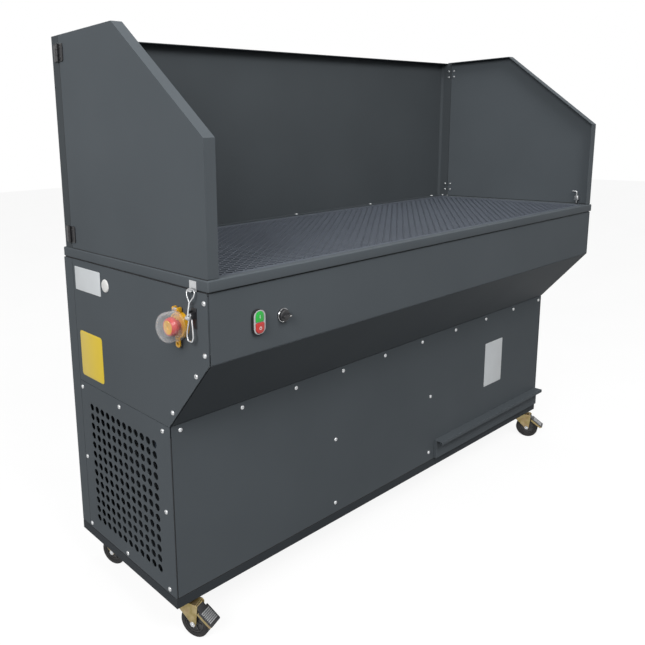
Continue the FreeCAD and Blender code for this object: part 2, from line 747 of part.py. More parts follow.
# Top frame, gasket and worktop
def make_rim():
    front = -rim_overhang
    skirt = ring(half, front, bench_depth, frame_sheet, frame_sheet, rim_bottom, rim_top)
    top = ring(half, front, bench_depth, rim_flange, rim_flange, rim_top - frame_sheet, rim_top)
    well_wall = ring(half - rim_flange + frame_sheet, front + rim_flange - frame_sheet,
                     bench_depth - rim_flange + frame_sheet, frame_sheet, frame_sheet,
                     ledge_top - frame_sheet, rim_top)
    ledge = ring(half - rim_flange + frame_sheet, front + rim_flange - frame_sheet,
                 bench_depth - rim_flange + frame_sheet, frame_sheet + ledge_width,
                 frame_sheet + ledge_width, ledge_top - frame_sheet, ledge_top)
    bottom = ring(half, front, bench_depth, rim_return, rim_return, rim_bottom, rim_bottom + frame_sheet)
    frame = join(skirt, top, well_wall, ledge, bottom)
    for side in (-1, 1):
        frame = frame.cut(rod(drop_bolt_radius + 1, 4 * frame_sheet,
                              (side * (hood_half - drop_bolt_in), drop_bolt_y, rim_top - 2 * frame_sheet),
                              (0, 0, 1)))
    frame = drilled(frame, panel_bolt_places)
    inner_half = half - rim_flange - ledge_width
    inner_front = front + rim_flange + ledge_width
    inner_rear = bench_depth - rim_flange - ledge_width
    zones = [(-half, half, front, inner_front), (-half, half, inner_rear, bench_depth),
             (-half, -inner_half, inner_front, inner_rear), (inner_half, half, inner_front, inner_rear)]
    keep("rim_frame", *[frame.common(box(*zone, rim_bottom, rim_top)) for zone in zones])
    keep("rim_gasket", ring(half - gasket_inset, gasket_inset - 1, bench_depth - gasket_inset, gasket_width,
                            gasket_width, cabinet_top, rim_bottom))
    bearers = []
    span = 2 * mesh_half / (bearer_count + 1)
    for index in range(bearer_count):
        x = -mesh_half + span * (index + 1)
        bearers.append(box(x - bearer_thickness / 2, x + bearer_thickness / 2, inner_front, inner_rear,
                           ledge_top - bearer_height, ledge_top))
    keep("mesh_bearers", *bearers)


def make_worktop():
    """Expanded-metal panel, one face with rows of diamond openings, each row half a pitch aside."""
    corners = [vec(-mesh_half, mesh_front, mesh_bottom), vec(mesh_half, mesh_front, mesh_bottom),
               vec(mesh_half, mesh_rear, mesh_bottom), vec(-mesh_half, mesh_rear, mesh_bottom)]
    wires = [Part.makePolygon(corners + corners[:1])]
    pitch_x = (2 * (mesh_half - mesh_border)) / (mesh_columns + 0.5)
    pitch_y = (mesh_rear - mesh_front - 2 * mesh_border) / mesh_rows
    reach_x = (pitch_x - mesh_bar) / 2
    reach_y = pitch_y * 0.44
    for row in range(mesh_rows):
        for column in range(mesh_columns):
            x = -mesh_half + mesh_border + pitch_x * (column + 0.5 + 0.5 * (row % 2))
            y = mesh_front + mesh_border + pitch_y * (row + 0.5)
            diamond = [vec(x - reach_x, y, mesh_bottom), vec(x, y - reach_y, mesh_bottom),
                       vec(x + reach_x, y, mesh_bottom), vec(x, y + reach_y, mesh_bottom)]
            wires.append(Part.makePolygon(diamond + diamond[:1]))
    face = Part.makeFace(wires, "Part::FaceMakerBullseye")
    keep("mesh_worktop", face.extrude(vec(0, 0, mesh_thickness)))


# Hood and wings
def make_hood():
    front = hinge_y + seam / 2
    outer = box(-hood_half, hood_half, front, bench_depth, rim_top, hood_top)
    corners = [edge for edge in outer.Edges
               if abs(edge.Length - hood_height) < 0.01 and edge.CenterOfMass.y > back_inner]
    outer = outer.makeFillet(hood_bend, corners)
    inner = box(-hood_inner, hood_inner, front - 1, back_inner, rim_top + sheet, hood_top - sheet)
    corners = [edge for edge in inner.Edges
               if abs(edge.Length - hood_height + 2 * sheet) < 0.01 and edge.CenterOfMass.y > front]
    inner = inner.makeFillet(hood_bend - sheet, corners)
    top_way = box(-hood_inner, hood_inner, front - 1, bench_depth - hood_top_flange, hood_top - 2 * sheet,
                  hood_top + sheet)
    foot_half = half - rim_flange
    foot_way = box(-foot_half, foot_half, front - 1, bench_depth - hood_foot, rim_top - sheet,
                   rim_top + 2 * sheet)
    hood = outer.cut([inner, top_way, foot_way])
    hood = hood.cut(hinge_screw_bores(hinge_y + hinge_screw_y))
    keep("hood_back_panel", drilled(hood, panel_bolt_places))


def hinge_levels():
    return (rim_top + hinge_inset + wing_clearance, hood_top - hinge_top_inset)


def hinge_screw_points(y):
    """Screw places on both sides at that y: (side, y, z)."""
    return [(side, y, level + step) for side in (-1, 1) for level in hinge_levels()
            for step in (-hinge_screw_z, hinge_screw_z)]


def hinge_screw_bores(y):
    bores = []
    for side, screw_y, z in hinge_screw_points(y):
        bores.append(rod(screw_radius + 0.2, 20, (side * (hood_half + 10), screw_y, z), (-side, 0, 0)))
    return bores


def hinge_screw(side, y, z):
    face = hood_half + hinge_plate
    shank = rod(screw_radius, hinge_plate + sheet + 3.5, (side * (face + 0.5), y, z), (-side, 0, 0))
    head = rod(screw_head, screw_head_height, (side * (face + screw_head_height), y, z), (-side, 0, 0))
    nut = rod(nut_radius, nut_height, (side * hood_inner, y, z), (-side, 0, 0))
    return join(shank, head, nut)


def make_hinges():
    axis_x = hood_half + hinge_barrel + 0.2
    third = hinge_height / 6
    fixed = []
    pins = []
    moving = {-1: [], 1: []}
    for side in (-1, 1):
        for level in hinge_levels():
            bores = [rod(hinge_pin_radius + run_fit, hinge_height + 2,
                         (side * axis_x, hinge_y, level - hinge_height / 2 - 1), (0, 0, 1))]
            screw_bores = (hinge_screw_bores(hinge_y + hinge_screw_y)
                           + hinge_screw_bores(hinge_y - hinge_screw_y))
            low = level - hinge_height / 2
            high = level + hinge_height / 2
            inner_x, outer_x = sorted((side * hood_half, side * (hood_half + hinge_plate)))
            clear = hinge_barrel + fit_gap
            leaf = box(inner_x, outer_x, hinge_y + clear, hinge_y + hinge_leaf, low, high)
            parts = [leaf]
            for z0, z1 in ((low, level - third - fit_gap / 2), (level + third + fit_gap / 2, high)):
                parts.append(rod(hinge_barrel, z1 - z0, (side * axis_x, hinge_y, z0), (0, 0, 1)))
                parts.append(box(inner_x, outer_x, hinge_y, hinge_y + clear, z0, z1))
            fixed.append(join(*parts).cut(bores + screw_bores))
            leaf = box(inner_x, outer_x, hinge_y - hinge_leaf, hinge_y - clear, low, high)
            z0 = level - third + fit_gap / 2
            z1 = level + third - fit_gap / 2
            knuckle = rod(hinge_barrel, z1 - z0, (side * axis_x, hinge_y, z0), (0, 0, 1))
            tongue = box(inner_x, outer_x, hinge_y - clear, hinge_y, z0, z1)
            moving[side].append(join(leaf, knuckle, tongue).cut(bores + screw_bores))
            pins.append(rod(hinge_pin_radius, hinge_height, (side * axis_x, hinge_y, low), (0, 0, 1)))
    keep("hinge_fixed_leaves", *fixed)
    keep("hinge_pins", *pins)
    keep("hinge_screws", *[hinge_screw(*place) for place in hinge_screw_points(hinge_y + hinge_screw_y)])
    screws = [(place[0], hinge_screw(*place)) for place in hinge_screw_points(hinge_y - hinge_screw_y)]
    for side, name in ((-1, "left_wing_hinge_leaves"), (1, "right_wing_hinge_leaves")):
        keep(name, *moving[side], *[screw for screw_side, screw in screws if screw_side == side])


def make_wings():
    rear = hinge_y - seam / 2
    outline = [(0, wing_bottom), (rear, wing_bottom), (rear, hood_top), (wing_bevel_depth, hood_top),
               (0, rim_top + wing_front_height)]
    opening = inset_outline(outline, [-2 * sheet, -2 * sheet, sheet, sheet, sheet])
    for side, name in ((-1, "left"), (1, "right")):
        skin = end_plate(outline, -hood_half, -hood_inner)
        flanges = end_plate(outline, -hood_inner, wing_flange - hood_half)
        flanges = flanges.cut(end_plate(opening, -hood_inner, wing_flange - hood_half))
        wing = join(skin, flanges)
        if side > 0:
            wing = mirrored(wing)
        keep(name + "_wing", wing.cut(hinge_screw_bores(hinge_y - hinge_screw_y)))
        make_drop_bolt(side, name)


def make_drop_bolt(side, name):
    """Vertical rod in a guide on the wing, which drops into a hole of the rim."""
    x = side * (hood_half - drop_bolt_in)
    tip = rim_top + drop_bolt_lift
    inner_x, outer_x = sorted((side * hood_inner, side * (hood_half - drop_bolt_in - 5)))
    low = rim_top + guide_lift
    guide = box(inner_x, outer_x, drop_bolt_y - guide_half, drop_bolt_y + guide_half, low, low + guide_height)
    guide = guide.cut(rod(drop_bolt_radius + run_fit, guide_height + 2, (x, drop_bolt_y, low - 1), (0, 0, 1)))
    keep(name + "_bolt_guide", guide)
    top = tip + drop_bolt_length
    shaft = rod(drop_bolt_radius, drop_bolt_length, (x, drop_bolt_y, tip), (0, 0, 1))
    elbow = Part.makeSphere(drop_bolt_radius, vec(x, drop_bolt_y, top))
    handle = rod(drop_bolt_radius, drop_bolt_handle, (x, drop_bolt_y, top), (0, 1, 0))
    end = Part.makeSphere(drop_bolt_radius, vec(x, drop_bolt_y + drop_bolt_handle, top))
    keep(name + "_drop_bolt", join(shaft, elbow, handle, end))


# Dust drawer
def drawer_bottom():
    return plinth_top + runner_height + fit_gap


def drawer_top():
    return drawer_bottom() + drawer_height


def make_drawer():
    low = drawer_bottom()
    high = drawer_top()
    back_of_front = cabinet_setback - fit_gap
    outer = box(drawer_left, drawer_right, back_of_front, back_of_front + drawer_depth, low, high)
    inner = box(drawer_left + drawer_wall, drawer_right - drawer_wall, back_of_front + drawer_wall,
                back_of_front + drawer_depth - drawer_wall, low + drawer_wall, high)
    keep("drawer_tray", outer.cut(inner))
    front_low = plinth_top + drawer_front_low
    front_high = high + drawer_front_high
    front_y = back_of_front - drawer_front_thickness
    face = box(drawer_front_left, drawer_front_right, front_y, front_y + sheet, front_low, front_high)
    cheeks = [box(x, x + sheet, front_y, back_of_front, front_low, front_high)
              for x in (drawer_front_left, drawer_front_right - sheet)]
    left, right = drawer_front_left, drawer_front_right
    shell = [box(left, right, front_y, back_of_front, front_high - sheet, front_high),
             box(left, right, front_y, back_of_front, front_low, front_low + sheet),
             box(drawer_left, drawer_right, back_of_front - sheet, back_of_front, front_low, front_high)]
    lip_y = front_y - drawer_lip
    lip = box(left, right, lip_y, front_y, front_high - sheet, front_high)
    drop = box(left, right, lip_y, lip_y + sheet, front_high - drawer_lip_drop, front_high)
    gussets = []
    for x in (left + gusset_end_left, (left + right) / 2 - gusset_middle, right - gusset_end_right):
        corner = [(x, front_y, front_high - sheet), (x, front_y, front_high - gusset_height),
                  (x, lip_y + 2 * sheet, front_high - sheet)]
        gussets.append(plate_from(corner, (gusset_thickness, 0, 0)))
    keep("drawer_front", join(face, *cheeks, *shell, lip, drop, *gussets))
    runners = []
    for x in (drawer_left, drawer_right - runner_width):
        runners.append(box(x, x + runner_width, cabinet_setback + runner_front_gap,
                           back_inner - runner_rear_gap, plinth_top, plinth_top + runner_height))
    keep("drawer_runners", *runners)


# Emergency stop, switches and latch
def make_emergency_stop():
    face = -half
    collar = rod(stop_collar_radius, stop_collar_depth, (face, stop_y, stop_z), (-1, 0, 0))
    edges = [edge for edge in collar.Edges
             if abs(edge.CenterOfMass.x - (face - stop_collar_depth)) < 0.01 and edge.Length > 100]
    collar = collar.makeFillet(2, edges)
    neck = rod(switch_hole - 0.2, stop_neck, (face, stop_y, stop_z), (1, 0, 0))
    bore = rod(stop_stem_radius, 60, (face - 30, stop_y, stop_z), (1, 0, 0))
    tab = box(face - stop_collar_depth, face - stop_collar_depth + stop_tab_thickness, stop_y - stop_tab_half,
              stop_y + stop_tab_half, stop_z - stop_tab_low, stop_z - stop_tab_high)
    pin_x = face - stop_collar_depth - 2
    tab_hole = rod(padlock_radius, 10, (pin_x, stop_y, stop_z - padlock_drop), (1, 0, 0))
    pin_z = stop_z + guard_radius + guard_pin_rise
    ear_top = pin_z + 4
    ear_y = stop_y - guard_knuckle_half - ear_thickness
    ears = []
    for y0 in (ear_y, stop_y + guard_knuckle_half):
        y1 = y0 + ear_thickness
        ears.append(box(face - stop_collar_depth, face - 4, y0, y1, stop_z + ear_foot, ear_top))
        ears.append(box(pin_x - 3, face - 4, y0, y1, stop_z + guard_radius + 0.6, ear_top))
    pin_length = 2 * (guard_knuckle_half + ear_thickness)
    pin = rod(guard_pin_radius, pin_length, (pin_x, ear_y, pin_z), (0, 1, 0))
    collar = join(collar, neck, *ears, pin).cut(bore)
    collar = join(collar, tab).cut(tab_hole)
    keep("stop_collar", collar)

    head_back = face - stop_collar_depth - stop_travel_gap
    head = rod(stop_button_radius, stop_button_depth, (head_back, stop_y, stop_z), (-1, 0, 0))
    edges = [edge for edge in head.Edges
             if abs(edge.CenterOfMass.x - (head_back - stop_button_depth)) < 0.01 and edge.Length > 100]
    head = head.makeFillet(stop_button_round, edges)
    stem = rod(stop_stem_radius - run_fit, 25, (head_back, stop_y, stop_z), (1, 0, 0))
    keep("emergency_button", join(head, stem))

    back = face - stop_collar_depth - fit_gap
    outer = rod(guard_radius, guard_depth, (back, stop_y, stop_z), (-1, 0, 0))
    edges = [edge for edge in outer.Edges
             if abs(edge.CenterOfMass.x - (back - guard_depth)) < 0.01 and edge.Length > 100]
    outer = outer.makeFillet(guard_round, edges)
    inner = rod(guard_radius - guard_wall, guard_depth - guard_wall, (back, stop_y, stop_z), (-1, 0, 0))
    edges = [edge for edge in inner.Edges
             if abs(edge.CenterOfMass.x - (back - guard_depth + guard_wall)) < 0.01 and edge.Length > 100]
    inner = inner.makeFillet(guard_round - guard_wall, edges)
    reach = guard_knuckle_half - fit_gap
    knuckle = rod(guard_knuckle, 2 * reach, (pin_x, stop_y - reach, pin_z), (0, 1, 0))
    web = box(pin_x - 6, pin_x, stop_y - reach, stop_y + reach, stop_z + guard_radius - 3, pin_z + 1)
    guard = join(outer, knuckle, web).cut(inner)
    guard = guard.cut(rod(guard_pin_radius + run_fit, pin_length, (pin_x, ear_y, pin_z), (0, 1, 0)))
    keep("stop_guard", guard)


def button_block(y0, y1, side, grow):
    """Block for a cap or its pocket, with wide corners away from the other button."""
    centre = switch_z + side * button_offset
    reach = button_side / 2 + grow
    block = box(twin_x - reach, twin_x + reach, y0, y1, centre - reach, centre + reach)
    for way, radius in ((-side, button_inner_corner), (side, button_outer_corner)):
        corners = [edge for edge in block.Edges if abs(edge.BoundBox.YLength - (y1 - y0)) < 0.01
                   and (edge.CenterOfMass.z - centre) * way > reach - 0.01]
        block = block.makeFillet(radius + grow, corners)
    return block


def make_switches():
    bezel = box(twin_x - twin_width / 2, twin_x + twin_width / 2, -twin_depth, 0, switch_z - twin_height / 2,
                switch_z + twin_height / 2)
    edges = [edge for edge in bezel.Edges if abs(edge.Length - twin_depth) < 0.01]
    bezel = bezel.makeFillet(twin_corner, edges)
    neck = rod(switch_hole - 0.2, switch_neck, (twin_x, 0, switch_z), (0, 1, 0))
    bezel = join(bezel, neck)
    for side, name, proud in ((1, "start_button", start_proud), (-1, "stop_button", stop_proud)):
        bezel = bezel.cut(button_block(-twin_depth - 1, button_pocket - twin_depth, side, fit_gap))
        stem_z = switch_z + side * button_stem_offset
        bezel = bezel.cut(rod(button_stem + run_fit, 60, (twin_x, -twin_depth - 1, stem_z), (0, 1, 0)))
        cap = button_block(-twin_depth - proud, 2 - twin_depth, side, 0)
        edges = [edge for edge in cap.Edges if abs(edge.CenterOfMass.y + twin_depth + proud) < 0.01]
        cap = cap.makeFillet(1, edges)
        stem = rod(button_stem, twin_depth + 14, (twin_x, 1 - twin_depth, stem_z), (0, 1, 0))
        keep(name, join(cap, stem))
    knob_ring_solid = rod(knob_ring, knob_ring_depth, (knob_x, -knob_ring_depth, switch_z), (0, 1, 0))
    edges = [edge for edge in knob_ring_solid.Edges
             if abs(edge.CenterOfMass.y + knob_ring_depth) < 0.01 and edge.Length > 60]
    knob_ring_solid = knob_ring_solid.makeFillet(1.5, edges)
    knob_neck = rod(switch_hole - 0.2, switch_neck, (knob_x, 0, switch_z), (0, 1, 0))
    knob_bore = rod(knob_stem + run_fit, 40, (knob_x, -10, switch_z), (0, 1, 0))
    keep("switch_bezels", bezel, join(knob_ring_solid, knob_neck).cut(knob_bore))
    knob_back = -knob_ring_depth - fit_gap
    grip_back = knob_back - knob_skirt_depth - 0.1
    skirt = rod(knob_skirt, knob_skirt_depth, (knob_x, knob_back, switch_z), (0, -1, 0))
    grip = rod(knob_radius, knob_depth + knob_back, (knob_x, knob_back, switch_z), (0, -1, 0))
    wings = box(knob_x - knob_radius, knob_x + knob_radius, -knob_depth - 1, grip_back,
                switch_z - knob_radius, switch_z - knob_grip_half)
    other = box(knob_x - knob_radius, knob_x + knob_radius, -knob_depth - 1, grip_back,
                switch_z + knob_grip_half, switch_z + knob_radius)
    stem = rod(knob_stem, 20, (knob_x, -5, switch_z), (0, 1, 0))
    keep("selector_knob", join(join(skirt, grip).cut([wings, other]), stem))


def make_latch():
    face = -half
    y0 = latch_y - latch_width / 2
    y1 = latch_y + latch_width / 2
    pivot_x = face - latch_pivot_out
    pin_x = face - bail_pin_out
    pin_z = latch_pivot_z - bail_pin_drop
    base = box(face - sheet, face, y0, y1, latch_pivot_z - 30, latch_pivot_z + 15)
    ears = [box(pivot_x - 4, face - sheet, y, y + sheet, latch_pivot_z - 7, latch_pivot_z + 8)
            for y in (y0, y1 - sheet)]
    pivot = rod(2, latch_width + 2, (pivot_x, y0 - 1, latch_pivot_z), (0, 1, 0))
    keep("latch_base", join(base, *ears, pivot))

    arm_in = y0 + sheet + fit_gap
    arm_out = y1 - sheet - fit_gap
    hub = rod(4.5, arm_out - arm_in, (pivot_x, arm_in, latch_pivot_z), (0, 1, 0))
    bail_pin = rod(2, arm_out - arm_in, (pin_x, arm_in, pin_z), (0, 1, 0))
    arms = []
    for y in (arm_in, arm_out - sheet):
        outline = [(pivot_x + 1, y, latch_pivot_z + 4), (pin_x - 2, y, pin_z + 2.5), (pin_x - 2, y, pin_z - 3),
                   (pivot_x + 1, y, latch_pivot_z - 4.5)]
        arms.append(plate_from(outline, (0, sheet, 0)))
    wire = [(0, -3.5, 0), (-3, -11, -36), (-3.5, -12, -46), (-4, -8, -56), (-4, 5.5, -56), (-3.5, 10, -46),
            (-3, 9.5, -36), (-2, 4.2, -14), (0, 3.5, 0)]
    loop = bent_wire([(pivot_x + dx, latch_y + dy, latch_pivot_z + dz) for dx, dy, dz in wire], lever_wire)
    lever = join(hub, bail_pin, *arms, *loop)
    lever = lever.cut(rod(2 + run_fit, 40, (pivot_x, latch_y - 20, latch_pivot_z), (0, 1, 0)))
    keep("latch_lever", lever)

    shelf_top = rim_bottom
    top_x = face - 6.5
    top_z = shelf_top + fit_gap + bail_wire
    along = vec(top_x - pin_x, 0, top_z - pin_z)
    length = along.Length
    along.normalize()

    def on_bail(distance, across):
        point = vec(pin_x, latch_y, pin_z) + along * distance + vec(0, across, 0)
        return (point.x, point.y, point.z)

    eye = rod(3.6, arm_out - arm_in - 2 * sheet - 2 * fit_gap,
              (pin_x, arm_in + sheet + fit_gap, pin_z), (0, 1, 0))
    neck = length - bail_bow
    stem = bent_wire([on_bail(2, 0), on_bail(neck, 0)], 2)
    bow = [(neck, 0), (length - 13, 13), (length - 5, 15), (length, 10), (length, -10), (length - 5, -15),
           (length - 13, -13), (neck, 0)]
    loop = bent_wire([on_bail(*place) for place in bow], bail_wire)
    knot = Part.makeSphere(2, vec(*on_bail(neck, 0)))
    bail = join(eye, *stem, *loop, knot)
    keep("latch_bail", bail.cut(rod(2 + run_fit, 40, (pin_x, latch_y - 20, pin_z), (0, 1, 0))))

    catch = box(face - sheet, face, latch_y - 12, latch_y + 12, shelf_top - 2.5, rim_top - 5)
    shelf = box(face - 12, face, latch_y - hook_half_width, latch_y + hook_half_width, shelf_top - 2.5,
                shelf_top)
    lip = box(face - 12, face - 10.5, latch_y - hook_half_width, latch_y + hook_half_width, shelf_top - 2.5,
              shelf_top + 1.4)
    keep("latch_catch", join(catch, shelf, lip))


# Inner works
def partition_web(bolt_x):
    return bolt_x - partition_flange / 2


def make_inner_walls():
    front = cabinet_setback + sheet
    walls = []
    for bolt_x in (fan_bolt_x, filter_bolt_x):
        x = partition_web(bolt_x)
        web = box(x, x + sheet, front + sheet, back_inner, plinth_top, knee_z + sheet)
        front_flange = box(x, x + partition_flange, front, front + sheet, plinth_top,
                           knee_z - hopper_flange - fit_gap)
        rear_flange = box(x, x + partition_flange, back_inner - sheet, back_inner, plinth_top, knee_z + sheet)
        wall = join(web, front_flange, rear_flange)
        if bolt_x == fan_bolt_x:
            wall = wall.cut(rod(inlet_radius, 4 * sheet, (x - sheet, fan_y, fan_z), (1, 0, 0)))
        else:
            for y in cartridge_y:
                wall = wall.cut(rod(cartridge_bore, 4 * sheet, (x - sheet, y, cartridge_z), (1, 0, 0)))
        walls.append(drilled(wall, panel_bolt_places))
    floor_right = partition_web(filter_bolt_x) + sheet
    floor = box(-panel_half, floor_right, front + 2 * sheet, back_inner, knee_z + sheet, knee_z + 2 * sheet)
    notch = box(-half, plate - end_inner + fit_gap, back_inner - rear_post_leg - fit_gap, bench_depth,
                knee_z, knee_z + 3 * sheet)
    back_notch = box(-half, post_leg - end_inner + fit_gap, back_inner - plate - fit_gap, bench_depth, knee_z,
                     knee_z + 3 * sheet)
    walls.append(floor.cut([notch, back_notch]))
    keep("inner_walls", *walls)
    cartridges = []
    x = partition_web(filter_bolt_x) + sheet
    for y in cartridge_y:
        body = rod(cartridge_radius, cartridge_length, (x, y, cartridge_z), (1, 0, 0))
        core = rod(cartridge_bore, cartridge_length - 12, (x, y, cartridge_z), (1, 0, 0))
        cartridges.append(body.cut(core))
    keep("filter_cartridges", *cartridges)


def make_fan():
    right = partition_web(fan_bolt_x)
    left = right - scroll_width
    drum = rod(scroll_radius, scroll_width, (left, fan_y, fan_z), (1, 0, 0))
    duct = box(left, right, fan_y + duct_start, fan_y + scroll_radius, fan_z, knee_z - 12)
    outer = join(drum, duct)
    hollow = rod(scroll_radius - sheet, scroll_width - 2 * sheet, (left + sheet, fan_y, fan_z), (1, 0, 0))
    duct_way = box(left + sheet, right - sheet, fan_y + duct_start + sheet, fan_y + scroll_radius - sheet, fan_z,
                   knee_z + 1)
    inlet = rod(inlet_radius, 4 * sheet, (right - 2 * sheet, fan_y, fan_z), (1, 0, 0))
    shaft_way = rod(shaft_radius + 3, 4 * sheet, (left - sheet, fan_y, fan_z), (1, 0, 0))
    keep("fan_scroll", outer.cut([hollow, duct_way, inlet, shaft_way]))

    wheel_left = left + wheel_gap
    wheel_right = right - wheel_gap
    back_plate = rod(impeller_radius, wheel_disc, (wheel_left, fan_y, fan_z), (1, 0, 0))
    hub = rod(wheel_hub_radius, wheel_hub_length, (wheel_left, fan_y, fan_z), (1, 0, 0))
    front_ring = rod(impeller_radius, wheel_disc, (wheel_right - wheel_disc, fan_y, fan_z), (1, 0, 0))
    eye = rod(inlet_radius, 2 * wheel_disc, (wheel_right - wheel_disc - 1, fan_y, fan_z), (1, 0, 0))
    front_ring = front_ring.cut(eye)
    blades = []
    for index in range(blade_count):
        blade = box(wheel_left + 2, wheel_right - 2, fan_y - 1, fan_y + 1, fan_z + blade_inner,
                    fan_z + impeller_radius - 2)
        blade.rotate(vec(0, fan_y, fan_z + blade_inner), vec(1, 0, 0), blade_lean)
        blade.rotate(vec(0, fan_y, fan_z), vec(1, 0, 0), 360 / blade_count * index)
        blades.append(blade)
    impeller = join(back_plate, hub, front_ring, *blades)
    keep("fan_impeller", impeller.cut(rod(shaft_radius + run_fit, 60, (wheel_left - 2, fan_y, fan_z), (1, 0, 0))))

    body = rod(motor_radius, motor_length, (left, fan_y, fan_z), (-1, 0, 0))
    shaft = rod(shaft_radius, 60, (left, fan_y, fan_z), (1, 0, 0))
    terminal_box = box(left - terminal_box_far, left - terminal_box_near, fan_y - terminal_box_half,
                       fan_y + terminal_box_half, fan_z + motor_radius - 15,
                       fan_z + motor_radius + terminal_box_half)
    keep("fan_motor", join(body, shaft, terminal_box))


def make_control_box():
    left = 2 * sheet + fit_gap - front_half
    right = left + control_box_length
    front = sheet
    rear = front + control_box_depth
    low = fascia_bottom + slope_flange + 2 * sheet
    high = cabinet_top - top_return / 2
    outer = box(left, right, front, rear, low, high)
    inner = box(left - 1, right - sheet, front - 1, rear - sheet, low + sheet, high - sheet)
    keep("control_box", outer.cut(inner))
    body = rod(gland_bore + gland_thread, 20, (gland_x, back_inner - 8, gland_z), (0, 1, 0))
    collar = rod(gland_bore + gland_nut_wall, 8, (gland_x, bench_depth, gland_z), (0, 1, 0))
    cap = rod(gland_bore + gland_cap_wall, gland_cap_length, (gland_x, bench_depth, gland_z), (0, 1, 0))
    nut = rod(gland_bore + gland_nut_wall, 5, (gland_x, back_inner - 5, gland_z), (0, 1, 0))
    gland = join(body, collar, cap, nut).cut(rod(gland_bore, 60, (gland_x, back_inner - 20, gland_z), (0, 1, 0)))
    keep("cable_gland", gland)


make_plinth()
make_castors()
make_posts()
make_end_panels()
make_front_panels()
make_rear_panel()
make_rim()
make_worktop()
make_hood()
make_wings()
make_hinges()
make_drawer()
make_emergency_stop()
make_switches()
make_latch()
make_inner_walls()
make_fan()
make_control_box()
keep("panel_bolts", *[dome_bolt(point, outward) for point, outward in panel_bolt_places])

# The origin goes under the middle of the finished bench, on the floor
whole = Part.makeCompound([shape for shapes in pieces.values() for shape in shapes])
bounds = whole.optimalBoundingBox(False, False)
shift = vec(-(bounds.XMin + bounds.XMax) / 2, -(bounds.YMin + bounds.YMax) / 2, -bounds.ZMin)
os.makedirs("parts", exist_ok=True)
for name, shapes in pieces.items():
    node = Part.makeCompound(shapes) if len(shapes) > 1 else shapes[0]
    node.translate(shift)
    node.exportStep("parts/" + name + ".step")
    solids = node.Solids
    if len(solids) != len(shapes) or not all(solid.isValid() for solid in solids):
        print("check", name, len(solids), "solids for", len(shapes), "pieces")
print("nodes", len(pieces), "shift", shift)
print("box", bounds.XLength, bounds.YLength, bounds.ZLength)
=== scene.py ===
import json
import math

import bmesh
import bpy
from mathutils import Matrix, Vector, geometry


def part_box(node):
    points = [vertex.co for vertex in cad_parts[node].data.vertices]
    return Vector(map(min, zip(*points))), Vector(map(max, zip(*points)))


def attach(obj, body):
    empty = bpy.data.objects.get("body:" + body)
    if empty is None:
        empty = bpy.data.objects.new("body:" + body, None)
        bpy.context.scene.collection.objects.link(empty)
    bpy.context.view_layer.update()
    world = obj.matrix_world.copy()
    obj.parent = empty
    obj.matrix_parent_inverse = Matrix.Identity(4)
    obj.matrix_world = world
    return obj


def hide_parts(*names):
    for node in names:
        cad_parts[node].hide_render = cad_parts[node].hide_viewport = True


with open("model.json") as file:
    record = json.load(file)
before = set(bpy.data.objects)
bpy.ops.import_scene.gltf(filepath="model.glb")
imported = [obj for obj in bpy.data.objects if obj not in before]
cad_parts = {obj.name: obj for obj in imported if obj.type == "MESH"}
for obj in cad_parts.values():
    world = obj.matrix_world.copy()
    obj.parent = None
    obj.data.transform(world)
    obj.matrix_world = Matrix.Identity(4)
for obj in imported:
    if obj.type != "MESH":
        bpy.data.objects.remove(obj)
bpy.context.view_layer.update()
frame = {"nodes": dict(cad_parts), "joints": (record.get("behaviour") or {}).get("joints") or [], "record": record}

print("frame loaded:", len(frame["nodes"]), "nodes")

# Places are bench millimetres: x from the middle of the length, y from the fascia to the back, and z from
# the floor
fasciaLow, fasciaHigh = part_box("control_fascia")
toFrame = Matrix.Translation(((fasciaLow.x + fasciaHigh.x) / 2, fasciaLow.y, 0)) @ Matrix.Scale(0.001, 4)
toBench = toFrame.inverted()
slotOf = {row["node"]: row["material_slot"] for row in frame["record"]["subparts"]}
bodyOf = {node: body for body, nodes in frame["record"]["behaviour"]["bodies"].items() for node in nodes}
jointAt = {joint["name"]: toBench @ Vector(joint["pos_m"]) for joint in frame["joints"] if "pos_m" in joint}
fullTurn = 2 * math.pi


def benchBox(node):
    low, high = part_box(node)
    return toBench @ low, toBench @ high


endFace = benchBox("left_upper_panel")[0].x          # outer face of the left end
frontFace = benchBox("front_panel")[0].y


# Nodes

class Tap:                                           # one output of a node, with the sums a finish needs
    def __init__(self, graph, socket):
        self.graph = graph
        self.socket = socket

    def sum(self, operation, first, second):
        return self.graph.node("ShaderNodeMath", {"operation": operation}, {0: first, 1: second})

    def __add__(self, other):
        return self.sum("ADD", self, other)

    def __radd__(self, other):
        return self.sum("ADD", other, self)

    def __sub__(self, other):
        return self.sum("SUBTRACT", self, other)

    def __rsub__(self, other):
        return self.sum("SUBTRACT", other, self)

    def __mul__(self, other):
        return self.sum("MULTIPLY", self, other)

    def __rmul__(self, other):
        return self.sum("MULTIPLY", other, self)

    def __truediv__(self, other):
        return self.sum("DIVIDE", self, other)

    def __mod__(self, other):
        return self.sum("MODULO", self, other)

    def __pow__(self, other):
        return self.sum("POWER", self, other)


